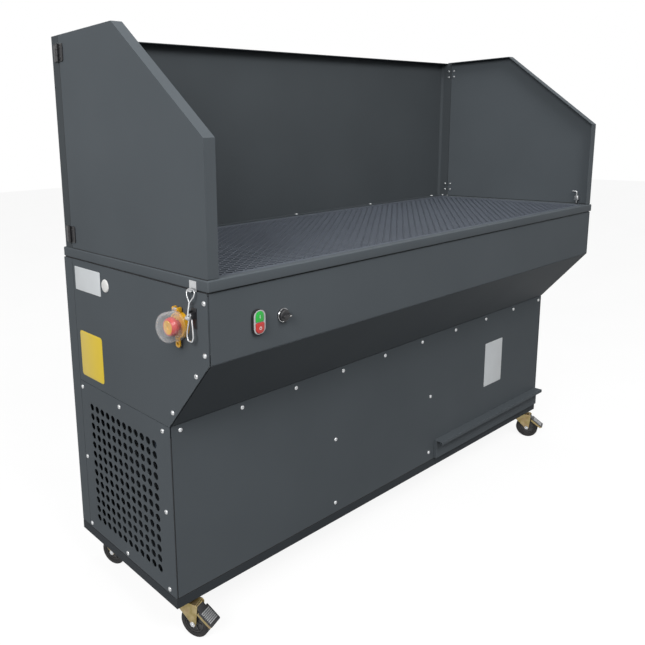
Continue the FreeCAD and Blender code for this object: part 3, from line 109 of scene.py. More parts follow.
class Graph:
    def __init__(self, tree):
        self.tree = tree

    def node(self, kind, settings=None, values=None, output=None):
        made = self.tree.nodes.new(kind)
        for name, setting in (settings or {}).items():
            if name == "stops":
                while len(made.color_ramp.elements) < len(setting):
                    made.color_ramp.elements.new(1)
                for element, (place, shade) in zip(made.color_ramp.elements, setting):
                    element.position = place
                    element.color = (*shade, 1)
            else:
                setattr(made, name, setting)
        for key, value in (values or {}).items():
            socket = made.inputs[key] if isinstance(key, int) else self.named(made.inputs, key)
            if isinstance(value, Tap):
                self.tree.links.new(value.socket, socket)
            elif socket.type == "RGBA" and len(value) == 3:
                socket.default_value = (*value, 1)
            else:
                socket.default_value = value
        if not made.outputs:
            return made
        return Tap(self, self.named(made.outputs, output))

    def named(self, sockets, name):
        return next(socket for socket in sockets if socket.enabled and name in (None, socket.name))


class Finish(Graph):
    def __init__(self, name):
        self.material = bpy.data.materials.new(name)
        self.material.use_nodes = True
        super().__init__(self.material.node_tree)
        self.tree.nodes.clear()
        self.place = self.node("ShaderNodeTexCoord", output="Object")

    def stretched(self, stretch):
        return self.node("ShaderNodeMapping", {}, {"Vector": self.place, "Scale": stretch})

    def noise(self, size, detail=2, stretch=(1, 1, 1)):        # size in metres
        return self.node("ShaderNodeTexNoise", {},
                         {"Vector": self.stretched(stretch), "Scale": 1 / size, "Detail": detail}, "Fac")

    def cells(self, size, output="Color"):
        return self.node("ShaderNodeTexVoronoi", {}, {"Vector": self.place, "Scale": 1 / size}, output)

    def graded(self, value, low, high):                        # value from low to high becomes 0 to 1
        return self.node("ShaderNodeMapRange", {"clamp": True},
                         {"Value": value, "From Min": low, "From Max": high})

    def mixed(self, factor, first, second):
        return self.node("ShaderNodeMix", {"data_type": "RGBA"},
                         {"Factor": factor, "A": first, "B": second}, "Result")

    def bumped(self, height, depth, strength=1.0):             # depth in metres
        return self.node("ShaderNodeBump", {}, {"Height": height, "Distance": depth, "Strength": strength})

    def dress(self, values):
        surface = self.node("ShaderNodeBsdfPrincipled", {}, values)
        self.node("ShaderNodeOutputMaterial", {}, {"Surface": surface})
        return self.material


class Recipe(Graph):                                 # a geometry tree with named inputs
    kinds = {float: "Float", int: "Int", bool: "Bool"}

    def __init__(self, name, inputs):
        super().__init__(bpy.data.node_groups.new(name, "GeometryNodeTree"))
        self.name = name
        self.inputs = inputs
        self.tree.interface.new_socket("Geometry", in_out="OUTPUT", socket_type="NodeSocketGeometry")
        self.tree.interface.new_socket("Geometry", in_out="INPUT", socket_type="NodeSocketGeometry")
        for label, value in inputs.items():
            kind = self.kinds.get(type(value), type(value).__name__)
            self.tree.interface.new_socket(label, in_out="INPUT", socket_type="NodeSocket" + kind)
        self.source = self.tree.nodes.new("NodeGroupInput")

    def given(self, label):
        return Tap(self, self.source.outputs[label])

    def made(self, result, seats=None):              # the plain mesh that the tree makes
        real = self.node("GeometryNodeRealizeInstances", {}, {"Geometry": result})
        coated = self.node("GeometryNodeSetMaterial", {},
                           {"Geometry": real, "Material": self.given("Finish")})
        self.node("NodeGroupOutput", {}, {"Geometry": coated})
        host = bpy.data.objects.new(self.name + "_host", seats or bpy.data.meshes.new(self.name + "_host"))
        bpy.context.scene.collection.objects.link(host)
        modifier = host.modifiers.new("recipe", "NODES")
        modifier.node_group = self.tree
        for item in self.tree.interface.items_tree:
            if item.in_out == "INPUT" and item.name in self.inputs:
                modifier[item.identifier] = self.inputs[item.name]
        seen = host.evaluated_get(bpy.context.evaluated_depsgraph_get())
        mesh = bpy.data.meshes.new_from_object(seen)
        host.modifiers.clear()
        bpy.data.objects.remove(host)
        return mesh


# Camera, lamps and floor

def addCamera():
    eye = {"place": (-1731, -1079, 1261), "forward": (0.6218, 0.7590, -0.1929),
           "right": (0.7700, -0.6375, -0.0266),
           "lens": 38.0, "sensor": 36.0, "shift": (0.15, -0.09)}
    lens = bpy.data.cameras.new("camera")
    lens.lens = eye["lens"]
    lens.sensor_width = eye["sensor"]
    lens.shift_x, lens.shift_y = eye["shift"]
    forward = Vector(eye["forward"]).normalized()
    up = Vector(eye["right"]).cross(forward).normalized()
    turn = Matrix((forward.cross(up), up, -forward)).transposed().to_4x4()
    camera = bpy.data.objects.new("camera", lens)
    bpy.context.scene.collection.objects.link(camera)
    camera.matrix_world = Matrix.Translation(toFrame @ Vector(eye["place"])) @ turn
    bpy.context.scene.camera = camera


def addLamp(name, place, aim, size, watts):
    lamp = bpy.data.lights.new(name, "AREA")
    lamp.shape = "DISK"
    lamp.size = size
    lamp.energy = watts
    holder = bpy.data.objects.new(name, lamp)
    bpy.context.scene.collection.objects.link(holder)
    holder.location = place
    holder.rotation_euler = (Vector(aim) - Vector(place)).to_track_quat("-Z", "Y").to_euler()


def addStage():
    addLamp("top_lamp", (0.2, 0.2, 4.6), (0, 0.1, 0.8), 3.0, 40)
    addLamp("left_lamp", (-4.1, -1.4, 3.0), (-0.9, 0, 0.8), 2.4, 140)
    addLamp("front_lamp", (-0.7, -3.4, 4.3), (-0.2, -0.1, 0.8), 2.4, 125)
    sky = {"level": 0.3, "seen": 1.0}
    world = bpy.data.worlds.new("studio")
    bpy.context.scene.world = world
    world.use_nodes = True
    air = Graph(world.node_tree)
    air.tree.nodes.clear()
    shown = seenDirectly(air)
    glow = air.node("ShaderNodeBackground", {},
                    {"Color": (1, 1, 1), "Strength": shown * (sky["seen"] - sky["level"]) + sky["level"]})
    air.node("ShaderNodeOutputWorld", {}, {"Surface": glow})
    floor = {"glow": 0.9, "shown": 0.12, "hidden": 0.08, "half": 14}
    pale = Finish("pale_floor")
    shown = seenDirectly(pale)
    mottled = pale.graded(pale.noise(0.4), 0.2, 0.8) * 0.01
    plain = pale.node("ShaderNodeBsdfDiffuse", {},
                      {"Color": pale.mixed(shown, (floor["hidden"],) * 3, (floor["shown"],) * 3)})
    lit = pale.node("ShaderNodeEmission", {},
                    {"Color": (1, 1, 1), "Strength": shown * (floor["glow"] + mottled)})
    both = pale.node("ShaderNodeAddShader", {}, {0: plain, 1: lit})
    pale.node("ShaderNodeOutputMaterial", {}, {"Surface": both})
    shape = bmesh.new()
    bmesh.ops.create_grid(shape, x_segments=1, y_segments=1, size=floor["half"])
    mesh = bpy.data.meshes.new("floor")
    shape.to_mesh(mesh)
    shape.free()
    mesh.materials.append(pale.material)
    ground = bpy.data.objects.new("floor", mesh)
    bpy.context.scene.collection.objects.link(ground)
    bpy.context.scene.view_settings.view_transform = "Standard"


def seenDirectly(graph):                             # 1 for the camera and for mirrors and glass
    path = graph.node("ShaderNodeLightPath", output="Is Camera Ray")
    outputs = path.socket.node.outputs
    glossy = Tap(graph, outputs["Is Glossy Ray"])
    through = Tap(graph, outputs["Is Transmission Ray"])
    return path.sum("MINIMUM", path + glossy + through, 1.0)


addCamera()
addStage()
print("camera, lamps and floor")


# Finishes

def powderCoat(name, tone, rough=0.5, shine=0.3):
    coat = Finish(name)
    spray = coat.graded(coat.noise(0.33, 3), 0.3, 0.7)           # broad unevenness of the coat
    grain = coat.noise(0.0009, 2)
    shade = coat.mixed(spray * 0.7 + grain * 0.3, tuple(c * 0.93 for c in tone),
                       tuple(c * 1.07 for c in tone))
    peel = coat.noise(0.0021, 3) + coat.noise(0.0007, 1) * 0.35
    return coat.dress({"Base Color": shade, "Roughness": rough + grain * 0.14 - 0.07,
                       "Specular IOR Level": shine, "Normal": coat.bumped(peel, 0.00016, 0.7)})


def galvanised():
    zinc = Finish("galvanised_sheet")
    spangle = zinc.node("ShaderNodeSeparateColor", {}, {"Color": zinc.cells(0.011)}, "Red")
    fine = zinc.noise(0.0016, 3)
    shade = zinc.mixed(spangle * 0.8 + fine * 0.2, (0.40, 0.42, 0.44), (0.56, 0.58, 0.60))
    return zinc.dress({"Base Color": shade, "Metallic": 0.85, "Roughness": 0.34 + spangle * 0.2,
                       "Normal": zinc.bumped(fine, 0.00008, 0.5)})


def brightZinc(name="bright_zinc", tone=(0.60, 0.61, 0.62)):
    zinc = Finish(name)
    haze = zinc.noise(0.006, 3)
    scuff = zinc.noise(0.0011, 2, (1, 1, 5))
    shade = zinc.mixed(haze, tuple(c * 0.82 for c in tone), tuple(min(1, c * 1.12) for c in tone))
    return zinc.dress({"Base Color": shade, "Metallic": 0.92, "Roughness": 0.24 + scuff * 0.2,
                       "Normal": zinc.bumped(scuff, 0.00005, 0.5)})


def yellowZinc():
    zinc = Finish("yellow_zinc")
    drift = zinc.graded(zinc.noise(0.016, 3), 0.32, 0.68)
    rose = zinc.graded(zinc.noise(0.028, 2), 0.5, 0.72)
    straw = zinc.mixed(drift, (0.27, 0.21, 0.075), (0.42, 0.34, 0.18))
    shade = zinc.mixed(rose * 0.5, straw, (0.32, 0.19, 0.13))
    scuff = zinc.noise(0.0012, 2)
    return zinc.dress({"Base Color": shade, "Metallic": 0.85, "Roughness": 0.28 + scuff * 0.22,
                       "Normal": zinc.bumped(scuff, 0.00006, 0.6)})


def softRubber(name, tone, dust, grain=0.0012):
    rubber = Finish(name)
    worn = rubber.graded(rubber.noise(0.02, 4), 0.45, 0.8)
    pores = rubber.noise(grain, 3)
    shade = rubber.mixed(worn * 0.6 + pores * 0.15, tone, dust)
    return rubber.dress({"Base Color": shade, "Roughness": 0.62 + pores * 0.2, "Specular IOR Level": 0.35,
                         "Normal": rubber.bumped(pores, 0.00022, 0.8)})


def moulded(name, tone, rough=0.3, coat=0.15):
    plastic = Finish(name)
    flow = plastic.noise(0.012, 3)
    spark = plastic.noise(0.0005, 2)
    shade = plastic.mixed(flow, tuple(c * 0.92 for c in tone), tuple(min(1, c * 1.06) for c in tone))
    return plastic.dress({"Base Color": shade, "Roughness": rough + spark * 0.12, "Coat Weight": coat,
                          "Coat Roughness": 0.15, "Normal": plastic.bumped(spark, 0.00004, 0.5)})


def clearPlastic():
    clear = Finish("clear_plastic")
    edge = clear.node("ShaderNodeLayerWeight", {}, {"Blend": 0.5}, "Facing")
    smear = clear.graded(clear.noise(0.012, 3), 0.4, 0.8)
    return clear.dress({"Base Color": clear.mixed(smear, (0.78, 0.80, 0.82), (0.88, 0.89, 0.90)),
                        "Roughness": 0.06 + smear * 0.08, "Specular IOR Level": 0.6,
                        "Alpha": 0.035 + smear * 0.03 + edge ** 2.4 * 0.6})


def chromeTrim():
    chrome = Finish("chrome_trim")
    haze = chrome.noise(0.004, 3)
    return chrome.dress({"Base Color": chrome.mixed(haze, (0.66, 0.67, 0.68), (0.80, 0.80, 0.81)),
                         "Metallic": 1.0, "Roughness": 0.12 + haze * 0.1})


def fleece():
    felt = Finish("filter_fleece")
    loft = felt.noise(0.003, 4)
    soot = felt.graded(felt.noise(0.05, 3), 0.45, 0.8)
    shade = felt.mixed(soot * 0.5, felt.mixed(loft, (0.66, 0.65, 0.61), (0.80, 0.79, 0.75)),
                       (0.36, 0.34, 0.31))
    return felt.dress({"Base Color": shade, "Roughness": 0.9, "Sheen Weight": 0.2,
                       "Normal": felt.bumped(loft, 0.0006, 0.8)})


def castPaint(name, tone):
    cast = Finish(name)
    skinGrain = cast.noise(0.0018, 4)
    broad = cast.noise(0.09, 3)
    shade = cast.mixed(broad, tuple(c * 0.85 for c in tone), tuple(c * 1.12 for c in tone))
    return cast.dress({"Base Color": shade, "Roughness": 0.42 + skinGrain * 0.2,
                       "Normal": cast.bumped(skinGrain, 0.0003, 0.7)})


def printedPlate(name, tone):
    card = Finish(name)
    fade = card.noise(0.05, 3)
    tooth = card.noise(0.0006, 2)
    shade = card.mixed(fade, tuple(c * 0.94 for c in tone), tuple(min(1, c * 1.04) for c in tone))
    return card.dress({"Base Color": shade, "Roughness": 0.38 + tooth * 0.14, "Coat Weight": 0.1,
                       "Normal": card.bumped(tooth, 0.00003, 0.4)})


paint = powderCoat("anthracite_paint", (0.094, 0.107, 0.118), 0.55, 0.03)
meshPaint = powderCoat("worktop_paint", (0.098, 0.111, 0.134), 0.45, 0.12)
finishes = {
    "anthracite_paint": paint, "mesh_steel": meshPaint, "galvanised_steel": galvanised(),
    "gasket_rubber": softRubber("gasket_foam", (0.012, 0.012, 0.013), (0.035, 0.035, 0.036), 0.0022),
    # the anthracite paint made darker: painted shade on the back panel of the hood
    "hood_coat": powderCoat("hood_coat", (0.068, 0.077, 0.084), 0.55, 0.03),
    # the anthracite paint made darker still: painted shade on the plinth, which stands in shadow
    "plinth_coat": powderCoat("plinth_coat", (0.044, 0.050, 0.056), 0.55, 0.03),
    "black_steel": powderCoat("black_steel", (0.018, 0.018, 0.020), 0.4, 0.45),
    "zinc_steel": brightZinc(), "castor_steel": yellowZinc(),
    "wheel_rubber": softRubber("tyre_rubber", (0.016, 0.016, 0.017), (0.06, 0.056, 0.052)),
    "yellow_plastic": moulded("yellow_plastic", (0.74, 0.38, 0.006)),
    "red_plastic": moulded("red_plastic", (0.56, 0.030, 0.022)),
    "green_plastic": moulded("green_plastic", (0.012, 0.44, 0.045)),
    "clear_plastic": clearPlastic(),
    "black_plastic": moulded("black_plastic", (0.017, 0.017, 0.019), 0.42, 0.05),
    "chrome_trim": chromeTrim(), "filter_media": fleece(),
    "fan_steel": brightZinc("fan_zinc", (0.44, 0.45, 0.47)),
    "motor_paint": castPaint("motor_paint", (0.10, 0.13, 0.17)),
    "control_box_paint": powderCoat("control_box_paint", (0.45, 0.46, 0.46)),
}
zinc = finishes["zinc_steel"]
blackSteel = finishes["black_steel"]
castorZinc = finishes["castor_steel"]
yellow = finishes["yellow_plastic"]
red = finishes["red_plastic"]
green = finishes["green_plastic"]
clear = finishes["clear_plastic"]
black = finishes["black_plastic"]
chrome = finishes["chrome_trim"]
hubPlastic = moulded("hub_plastic", (0.045, 0.044, 0.044), 0.45, 0.0)
paleRing = moulded("pale_ring", (0.50, 0.51, 0.52), 0.3, 0.1)
whiteMark = moulded("white_mark", (0.80, 0.80, 0.78), 0.4, 0.0)
whitePlate = printedPlate("white_plate", (0.66, 0.69, 0.71))
yellowPlate = printedPlate("yellow_plate", (0.76, 0.55, 0.03))
for node, shown in frame["nodes"].items():
    for seatOfFinish in shown.material_slots:
        seatOfFinish.material = finishes[slotOf[node]]
print("finishes:", len(bpy.data.materials))


# Mesh work

def seat(point, outward, up=(0, 0, 1)):              # local z points outward and local y up
    z = Vector(outward).normalized()
    y = (Vector(up) - z * Vector(up).dot(z)).normalized()
    return Matrix.Translation(point) @ Matrix((y.cross(z), y, z)).transposed().to_4x4()


def raised(place, height):
    return place @ Matrix.Translation((0, 0, height))


def ringAt(place, outline, level):
    return [place @ Vector((*point, level)) for point in outline]


def rectangle(left, right, bottom, top):
    return [(left, bottom), (right, bottom), (right, top), (left, top)]


def circle(radius, sides, centre=(0, 0)):
    return [Vector((centre[0] + radius * math.cos(fullTurn * step / sides),
                    centre[1] + radius * math.sin(fullTurn * step / sides))) for step in range(sides)]


def eased(points, radius, steps=4, closed=False):    # corners of a path as true arcs
    points = [Vector(point) for point in points]
    radii = radius if isinstance(radius, (list, tuple)) else [radius] * len(points)
    smooth = []
    for index, corner in enumerate(points):
        if radii[index] == 0 or (not closed and index in (0, len(points) - 1)):
            smooth.append(corner)
            continue
        back = points[index - 1] - corner
        on = points[(index + 1) % len(points)] - corner
        opening = back.angle(on) / 2
        reach = min(radii[index] / math.tan(opening), back.length * 0.49, on.length * 0.49)
        start = corner + back.normalized() * reach
        end = corner + on.normalized() * reach
        weight = math.sin(opening)
        for step in range(steps + 1):
            t = step / steps
            low, middle, high = (1 - t) ** 2, 2 * t * (1 - t) * weight, t * t
            smooth.append((start * low + corner * middle + end * high) / (low + middle + high))
    return smooth


def skin(shape, rings, paintIndex=0, wrapped=False, capped=True):
    made = [[shape.verts.new(point) for point in ring] for ring in rings]
    faces = []
    for low, high in list(zip(made, made[1:])) + ([(made[-1], made[0])] if wrapped else []):
        count = max(len(low), len(high))
        for step in range(count):
            after = (step + 1) % count
            corners = (low[step % len(low)], low[after % len(low)], high[after % len(high)],
                       high[step % len(high)])
            if count > 1:
                faces.append(shape.faces.new(list(dict.fromkeys(corners))))
    if capped and not wrapped:
        faces += [shape.faces.new(ring) for ring in (made[0], made[-1]) if len(ring) > 2]
    for face in faces:
        face.material_index = paintIndex
    return made


def lathe(shape, place, profile, sides=32, paintIndex=0, wrapped=False):     # profile of (radius, height)
    rings = []
    for radius, height in profile:
        around = circle(radius, sides) if radius > 0.001 else [Vector((0, 0))]
        rings.append(ringAt(place, around, height))
    return skin(shape, rings, paintIndex, wrapped)


def tube(shape, points, radius, sides=12, paintIndex=0, closed=False):
    points = [Vector(point) for point in points]
    count = len(points)
    tangents = []
    for index in range(count):
        before = points[index - 1] if closed or index else points[index]
        after = points[(index + 1) % count] if closed or index < count - 1 else points[index]
        tangents.append((after - before).normalized())
    side = tangents[0].orthogonal().normalized()
    rings = []
    for index, (point, tangent) in enumerate(zip(points, tangents)):
        side = (side - tangent * side.dot(tangent)).normalized()
        other = tangent.cross(side)
        ends = [(1.0, 0.0)]
        if not closed and index == 0:
            ends = [(math.sin(a), -math.cos(a)) for a in (0.35, 0.8, 1.2)] + ends
        elif not closed and index == count - 1:
            ends = ends + [(math.sin(a), math.cos(a)) for a in (1.2, 0.8, 0.35)]
        for width, along in ends:
            centre = point + tangent * radius * along
            rings.append([centre + (side * p.x + other * p.y) * width for p in circle(radius, sides)])
    skin(shape, rings, paintIndex, closed)


def plate(shape, place, loops, thick, edge=0.4, paintIndex=0):               # outline first, then its holes
    levels = ((edge, 0), (edge * 0.3, edge * 0.3), (0, edge), (0, thick - edge),
              (edge * 0.3, thick - edge * 0.3), (edge, thick))
    caps = ([], [])
    for number, loop in enumerate(loops):
        loop = [Vector(point) for point in loop]
        area = sum(a.x * b.y - a.y * b.x for a, b in zip(loop, loop[1:] + loop[:1]))
        if (area > 0) != (number == 0):
            loop.reverse()
        inward = []
        for before, here, after in zip(loop[-1:] + loop[:-1], loop, loop[1:] + loop[:1]):
            first = (here - before).normalized()
            second = (after - here).normalized()
            normal = Vector((-first.y - second.y, first.x + second.x)) / 2
            inward.append(normal / max(normal.length_squared, 0.2))
        rings = [[place @ Vector((*(point + normal * inset), level)) for point, normal in zip(loop, inward)]
                 for inset, level in levels]
        made = skin(shape, rings, paintIndex, capped=False)
        caps[0].append(made[0])
        caps[1].append(made[-1])
    for rows in caps:
        flat = [corner for row in rows for corner in row]
        back = place.inverted()
        for triangle in geometry.tessellate_polygon([[back @ corner.co for corner in row] for row in rows]):
            shape.faces.new([flat[index] for index in triangle]).material_index = paintIndex


def block(shape, low, high, edge=0.5, paintIndex=0):
    low, high = Vector(low), Vector(high)
    outline = rectangle(low.x, high.x, low.y, high.y)
    plate(shape, Matrix.Translation((0, 0, low.z)), [eased(outline, edge, 2, True)], high.z - low.z, edge,
          paintIndex)


def hexagon(across, sides=18, turn=0.0):             # points on a hexagon, evenly turned
    ring = []
    for step in range(sides):
        angle = fullTurn * step / sides + turn
        ring.append(Vector((math.cos(angle), math.sin(angle)))
                    * (across / 2 / math.cos(angle % (fullTurn / 6) - fullTurn / 12)))
    return ring


def placed(name, mesh, body, stands=(), crease=32):
    mesh.shade_smooth()
    mesh.set_sharp_from_angle(angle=math.radians(crease))
    piece = bpy.data.objects.new(name, mesh)
    bpy.context.scene.collection.objects.link(piece)
    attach(piece, body)
    if stands:
        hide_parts(*stands)
    return piece


def addPiece(name, shape, coats, nodes=(), body=None):
    bmesh.ops.recalc_face_normals(shape, faces=shape.faces)
    shape.transform(toFrame)
    mesh = bpy.data.meshes.new(name)
    shape.to_mesh(mesh)
    shape.free()
    for coat in coats:
        mesh.materials.append(coat)
    body = body or bodyOf[nodes[0]]
    return placed(name, mesh, body, nodes)


def islandsOf(node):                                 # the solids of a node, as lists of bench points
    shape = bmesh.new()
    shape.from_mesh(frame["nodes"][node].data)
    bmesh.ops.remove_doubles(shape, verts=shape.verts, dist=5e-6)
    found = []
    left = set(shape.verts)
    while left:
        queue = [left.pop()]
        island = []
        while queue:
            corner = queue.pop()
            island.append(toBench @ corner.co)
            for edge in corner.link_edges:
                other = edge.other_vert(corner)
                if other in left:
                    left.remove(other)
                    queue.append(other)
        found.append(island)
    shape.free()
    found.sort(key=lambda island: tuple(round(sum(point[axis] for point in island) / len(island), 1)
                                        for axis in range(3)))
    return found


def boxOf(points):
    return (Vector([min(point[axis] for point in points) for axis in range(3)]),
            Vector([max(point[axis] for point in points) for axis in range(3)]))


# Painted sheet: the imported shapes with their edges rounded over

def soften(node, edge=0.6, coat=None):
    shape = bmesh.new()
    shape.from_mesh(frame["nodes"][node].data)
    bmesh.ops.remove_doubles(shape, verts=shape.verts, dist=5e-6)
    bmesh.ops.dissolve_limit(shape, angle_limit=math.radians(1), verts=shape.verts, edges=shape.edges)
    sharp = [edge for edge in shape.edges if edge.is_manifold and edge.calc_face_angle(0) > math.radians(30)]
    bmesh.ops.bevel(shape, geom=sharp, offset=edge / 1000, offset_type="OFFSET", segments=2, profile=0.5,
                    affect="EDGES", clamp_overlap=True, material=-1, loop_slide=True)
    mesh = bpy.data.meshes.new(node + "_rounded")
    shape.to_mesh(mesh)
    shape.free()
    mesh.materials.append(coat or finishes[slotOf[node]])
    mesh.shade_smooth()
    host = bpy.data.objects.new("host", mesh)
    bpy.context.scene.collection.objects.link(host)
    evener = host.modifiers.new("even", "WEIGHTED_NORMAL")
    evener.keep_sharp = False
    even = bpy.data.meshes.new_from_object(host.evaluated_get(bpy.context.evaluated_depsgraph_get()))
    bpy.data.objects.remove(host)
    piece = bpy.data.objects.new(node + "_rounded", even)
    bpy.context.scene.collection.objects.link(piece)
    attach(piece, bodyOf[node])
    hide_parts(node)


for node in ("base_plinth", "left_upper_panel", "right_upper_panel", "right_lower_panel", "front_panel",
             "hopper_front", "control_fascia", "rear_panel", "hood_back_panel", "left_wing", "right_wing",
             "drawer_front", "drawer_tray", "corner_posts", "latch_catch", "latch_base"):
    # the back of the hood and the plinth take darker copies of the paint, which are painted shade
    soften(node, 0.9 if node in ("left_wing", "right_wing", "hood_back_panel") else 0.6,
           {"hood_back_panel": finishes["hood_coat"], "base_plinth": finishes["plinth_coat"]}.get(node))
print("painted sheet rounded over")


# Top frame, folded from one strip of sheet, and the seals beside the wings

def bored(shape, places, radius, deep):              # upright holes through a closed shape
    drills = bmesh.new()
    for place in places:
        lathe(drills, Matrix.Translation(place), rectangle(0, radius, -deep, deep), 24)
    hosts = []
    for name, solid in (("drilled", shape), ("drills", drills)):
        bmesh.ops.recalc_face_normals(solid, faces=solid.faces)
        mesh = bpy.data.meshes.new(name)
        solid.to_mesh(mesh)
        solid.free()
        hosts.append(bpy.data.objects.new(name, mesh))
        bpy.context.scene.collection.objects.link(hosts[-1])
    drilling = hosts[0].modifiers.new("drilling", "BOOLEAN")
    drilling.operation, drilling.solver, drilling.object = "DIFFERENCE", "EXACT", hosts[1]
    mesh = bpy.data.meshes.new_from_object(hosts[0].evaluated_get(bpy.context.evaluated_depsgraph_get()))
    shape = bmesh.new()
    shape.from_mesh(mesh)
    for host in hosts:
        bpy.data.objects.remove(host)
    return shape


def addRim():
    low, high = benchBox("rim_frame")
    fold = {"sheet": 2.5, "flange": 22.0, "ledge": 40.0, "back": 25.0, "bend": 2.8, "corner": 3.2}
    thick, flange, deep = fold["sheet"], fold["flange"], fold["ledge"]
    shelf = benchBox("mesh_worktop")[0].z - 0.3
    section = [(fold["back"], low.z), (0, low.z), (0, high.z), (flange, high.z), (flange, shelf),
               (deep, shelf),
               (deep, shelf - thick), (flange - thick, shelf - thick), (flange - thick, high.z - thick),
               (thick, high.z - thick), (thick, low.z + thick), (fold["back"], low.z + thick)]
    bends = [1.0, fold["bend"], fold["bend"], fold["bend"], 0.3, 1.0, 1.0, 1.5, 0.3, 0.3, 0.3, 1.0]
    section = eased(section, bends, 5, True)
    shape = bmesh.new()
    rings = []
    for number, (x, y) in enumerate(((low.x, low.y), (high.x, low.y), (high.x, high.y), (low.x, high.y))):
        right, back = (1 if x == low.x else -1), (1 if y == low.y else -1)
        for step in range(5):
            angle = fullTurn * (0.5 + 0.25 * number + 0.0625 * step)
            ring = []
            for inset, level in section:
                radius = max(fold["corner"] - inset, 0.2)
                ring.append((x + right * (inset + radius) + radius * math.cos(angle),
                             y + back * (inset + radius) + radius * math.sin(angle), level))
            rings.append(ring)
    skin(shape, rings, 0, True)
    hole = {"radius": 4.0, "deep": 8.0, "rod": 3.0}
    boltHoles = []
    for name in ("left_drop_bolt", "right_drop_bolt"):
        rodLow, rodHigh = benchBox(name)
        boltHoles.append(((rodLow.x + rodHigh.x) / 2, rodLow.y + hole["rod"], high.z))
    shape = bored(shape, boltHoles, hole["radius"], hole["deep"])
    bush = [(3.6, -2), (5.4, -2), (5.4, 0.2), (5.0, 0.35), (3.9, 0.35), (3.6, 0.1)]
    for place in boltHoles:                                      # steel bushes that the drop bolts go into
        lathe(shape, Matrix.Translation(place), bush, 24, 1, True)
    addPiece("rim_fold", shape, [paint, blackSteel], ["rim_frame"])


def addBaseSeal():                                   # foam in the joint between the base and the side panels
    base = benchBox("base_plinth")
    joint = {"inset": 0.8, "wide": 7.0, "lap": 0.4}
    bottom, top = base[1].z - joint["lap"], benchBox("rear_panel")[0].z + joint["lap"]
    shape = bmesh.new()
    rings = []
    for inset, level in ((joint["inset"], bottom), (joint["inset"], top), (joint["wide"], top),
                         (joint["wide"], bottom)):
        rings.append([Vector((x, y, level)) for x, y in (
            (base[0].x + inset, base[0].y + inset), (base[1].x - inset, base[0].y + inset),
            (base[1].x - inset, base[1].y - inset), (base[0].x + inset, base[1].y - inset))])
    skin(shape, rings, 0, True)
    addPiece("base_seal", shape, [finishes["gasket_rubber"]], (), "cabinet")


def addSeals():
    strip = {"thick": 1.7, "inside": 0.2, "lap": 0.3}
    rubber = finishes["gasket_rubber"]
    rimTop = benchBox("rim_frame")[1].z
    hoodLow, hoodHigh = benchBox("hood_back_panel")
    standing = bmesh.new()
    for side, name in ((-1, "left"), (1, "right")):
        low, high = benchBox(name + "_wing")
        outer = (low if side < 0 else high).x - side * strip["inside"]
        near, far = sorted((outer, outer - side * strip["thick"]))
        shape = bmesh.new()
        block(shape, (near, low.y + 1, rimTop + 0.08), (far, high.y - 1, low.z + strip["lap"]), 0.2)
        addPiece(name + "_wing_seal", shape, [rubber], (), name + "_wing")
        block(standing, (near, high.y + 0.1, rimTop + 4), (far, hoodLow.y + strip["lap"], hoodHigh.z - 3),
              0.2)
    addPiece("hood_seals", standing, [rubber], (), "cabinet")


addRim()
addSeals()
addBaseSeal()
print("rim and seals")


# Worktop of expanded metal

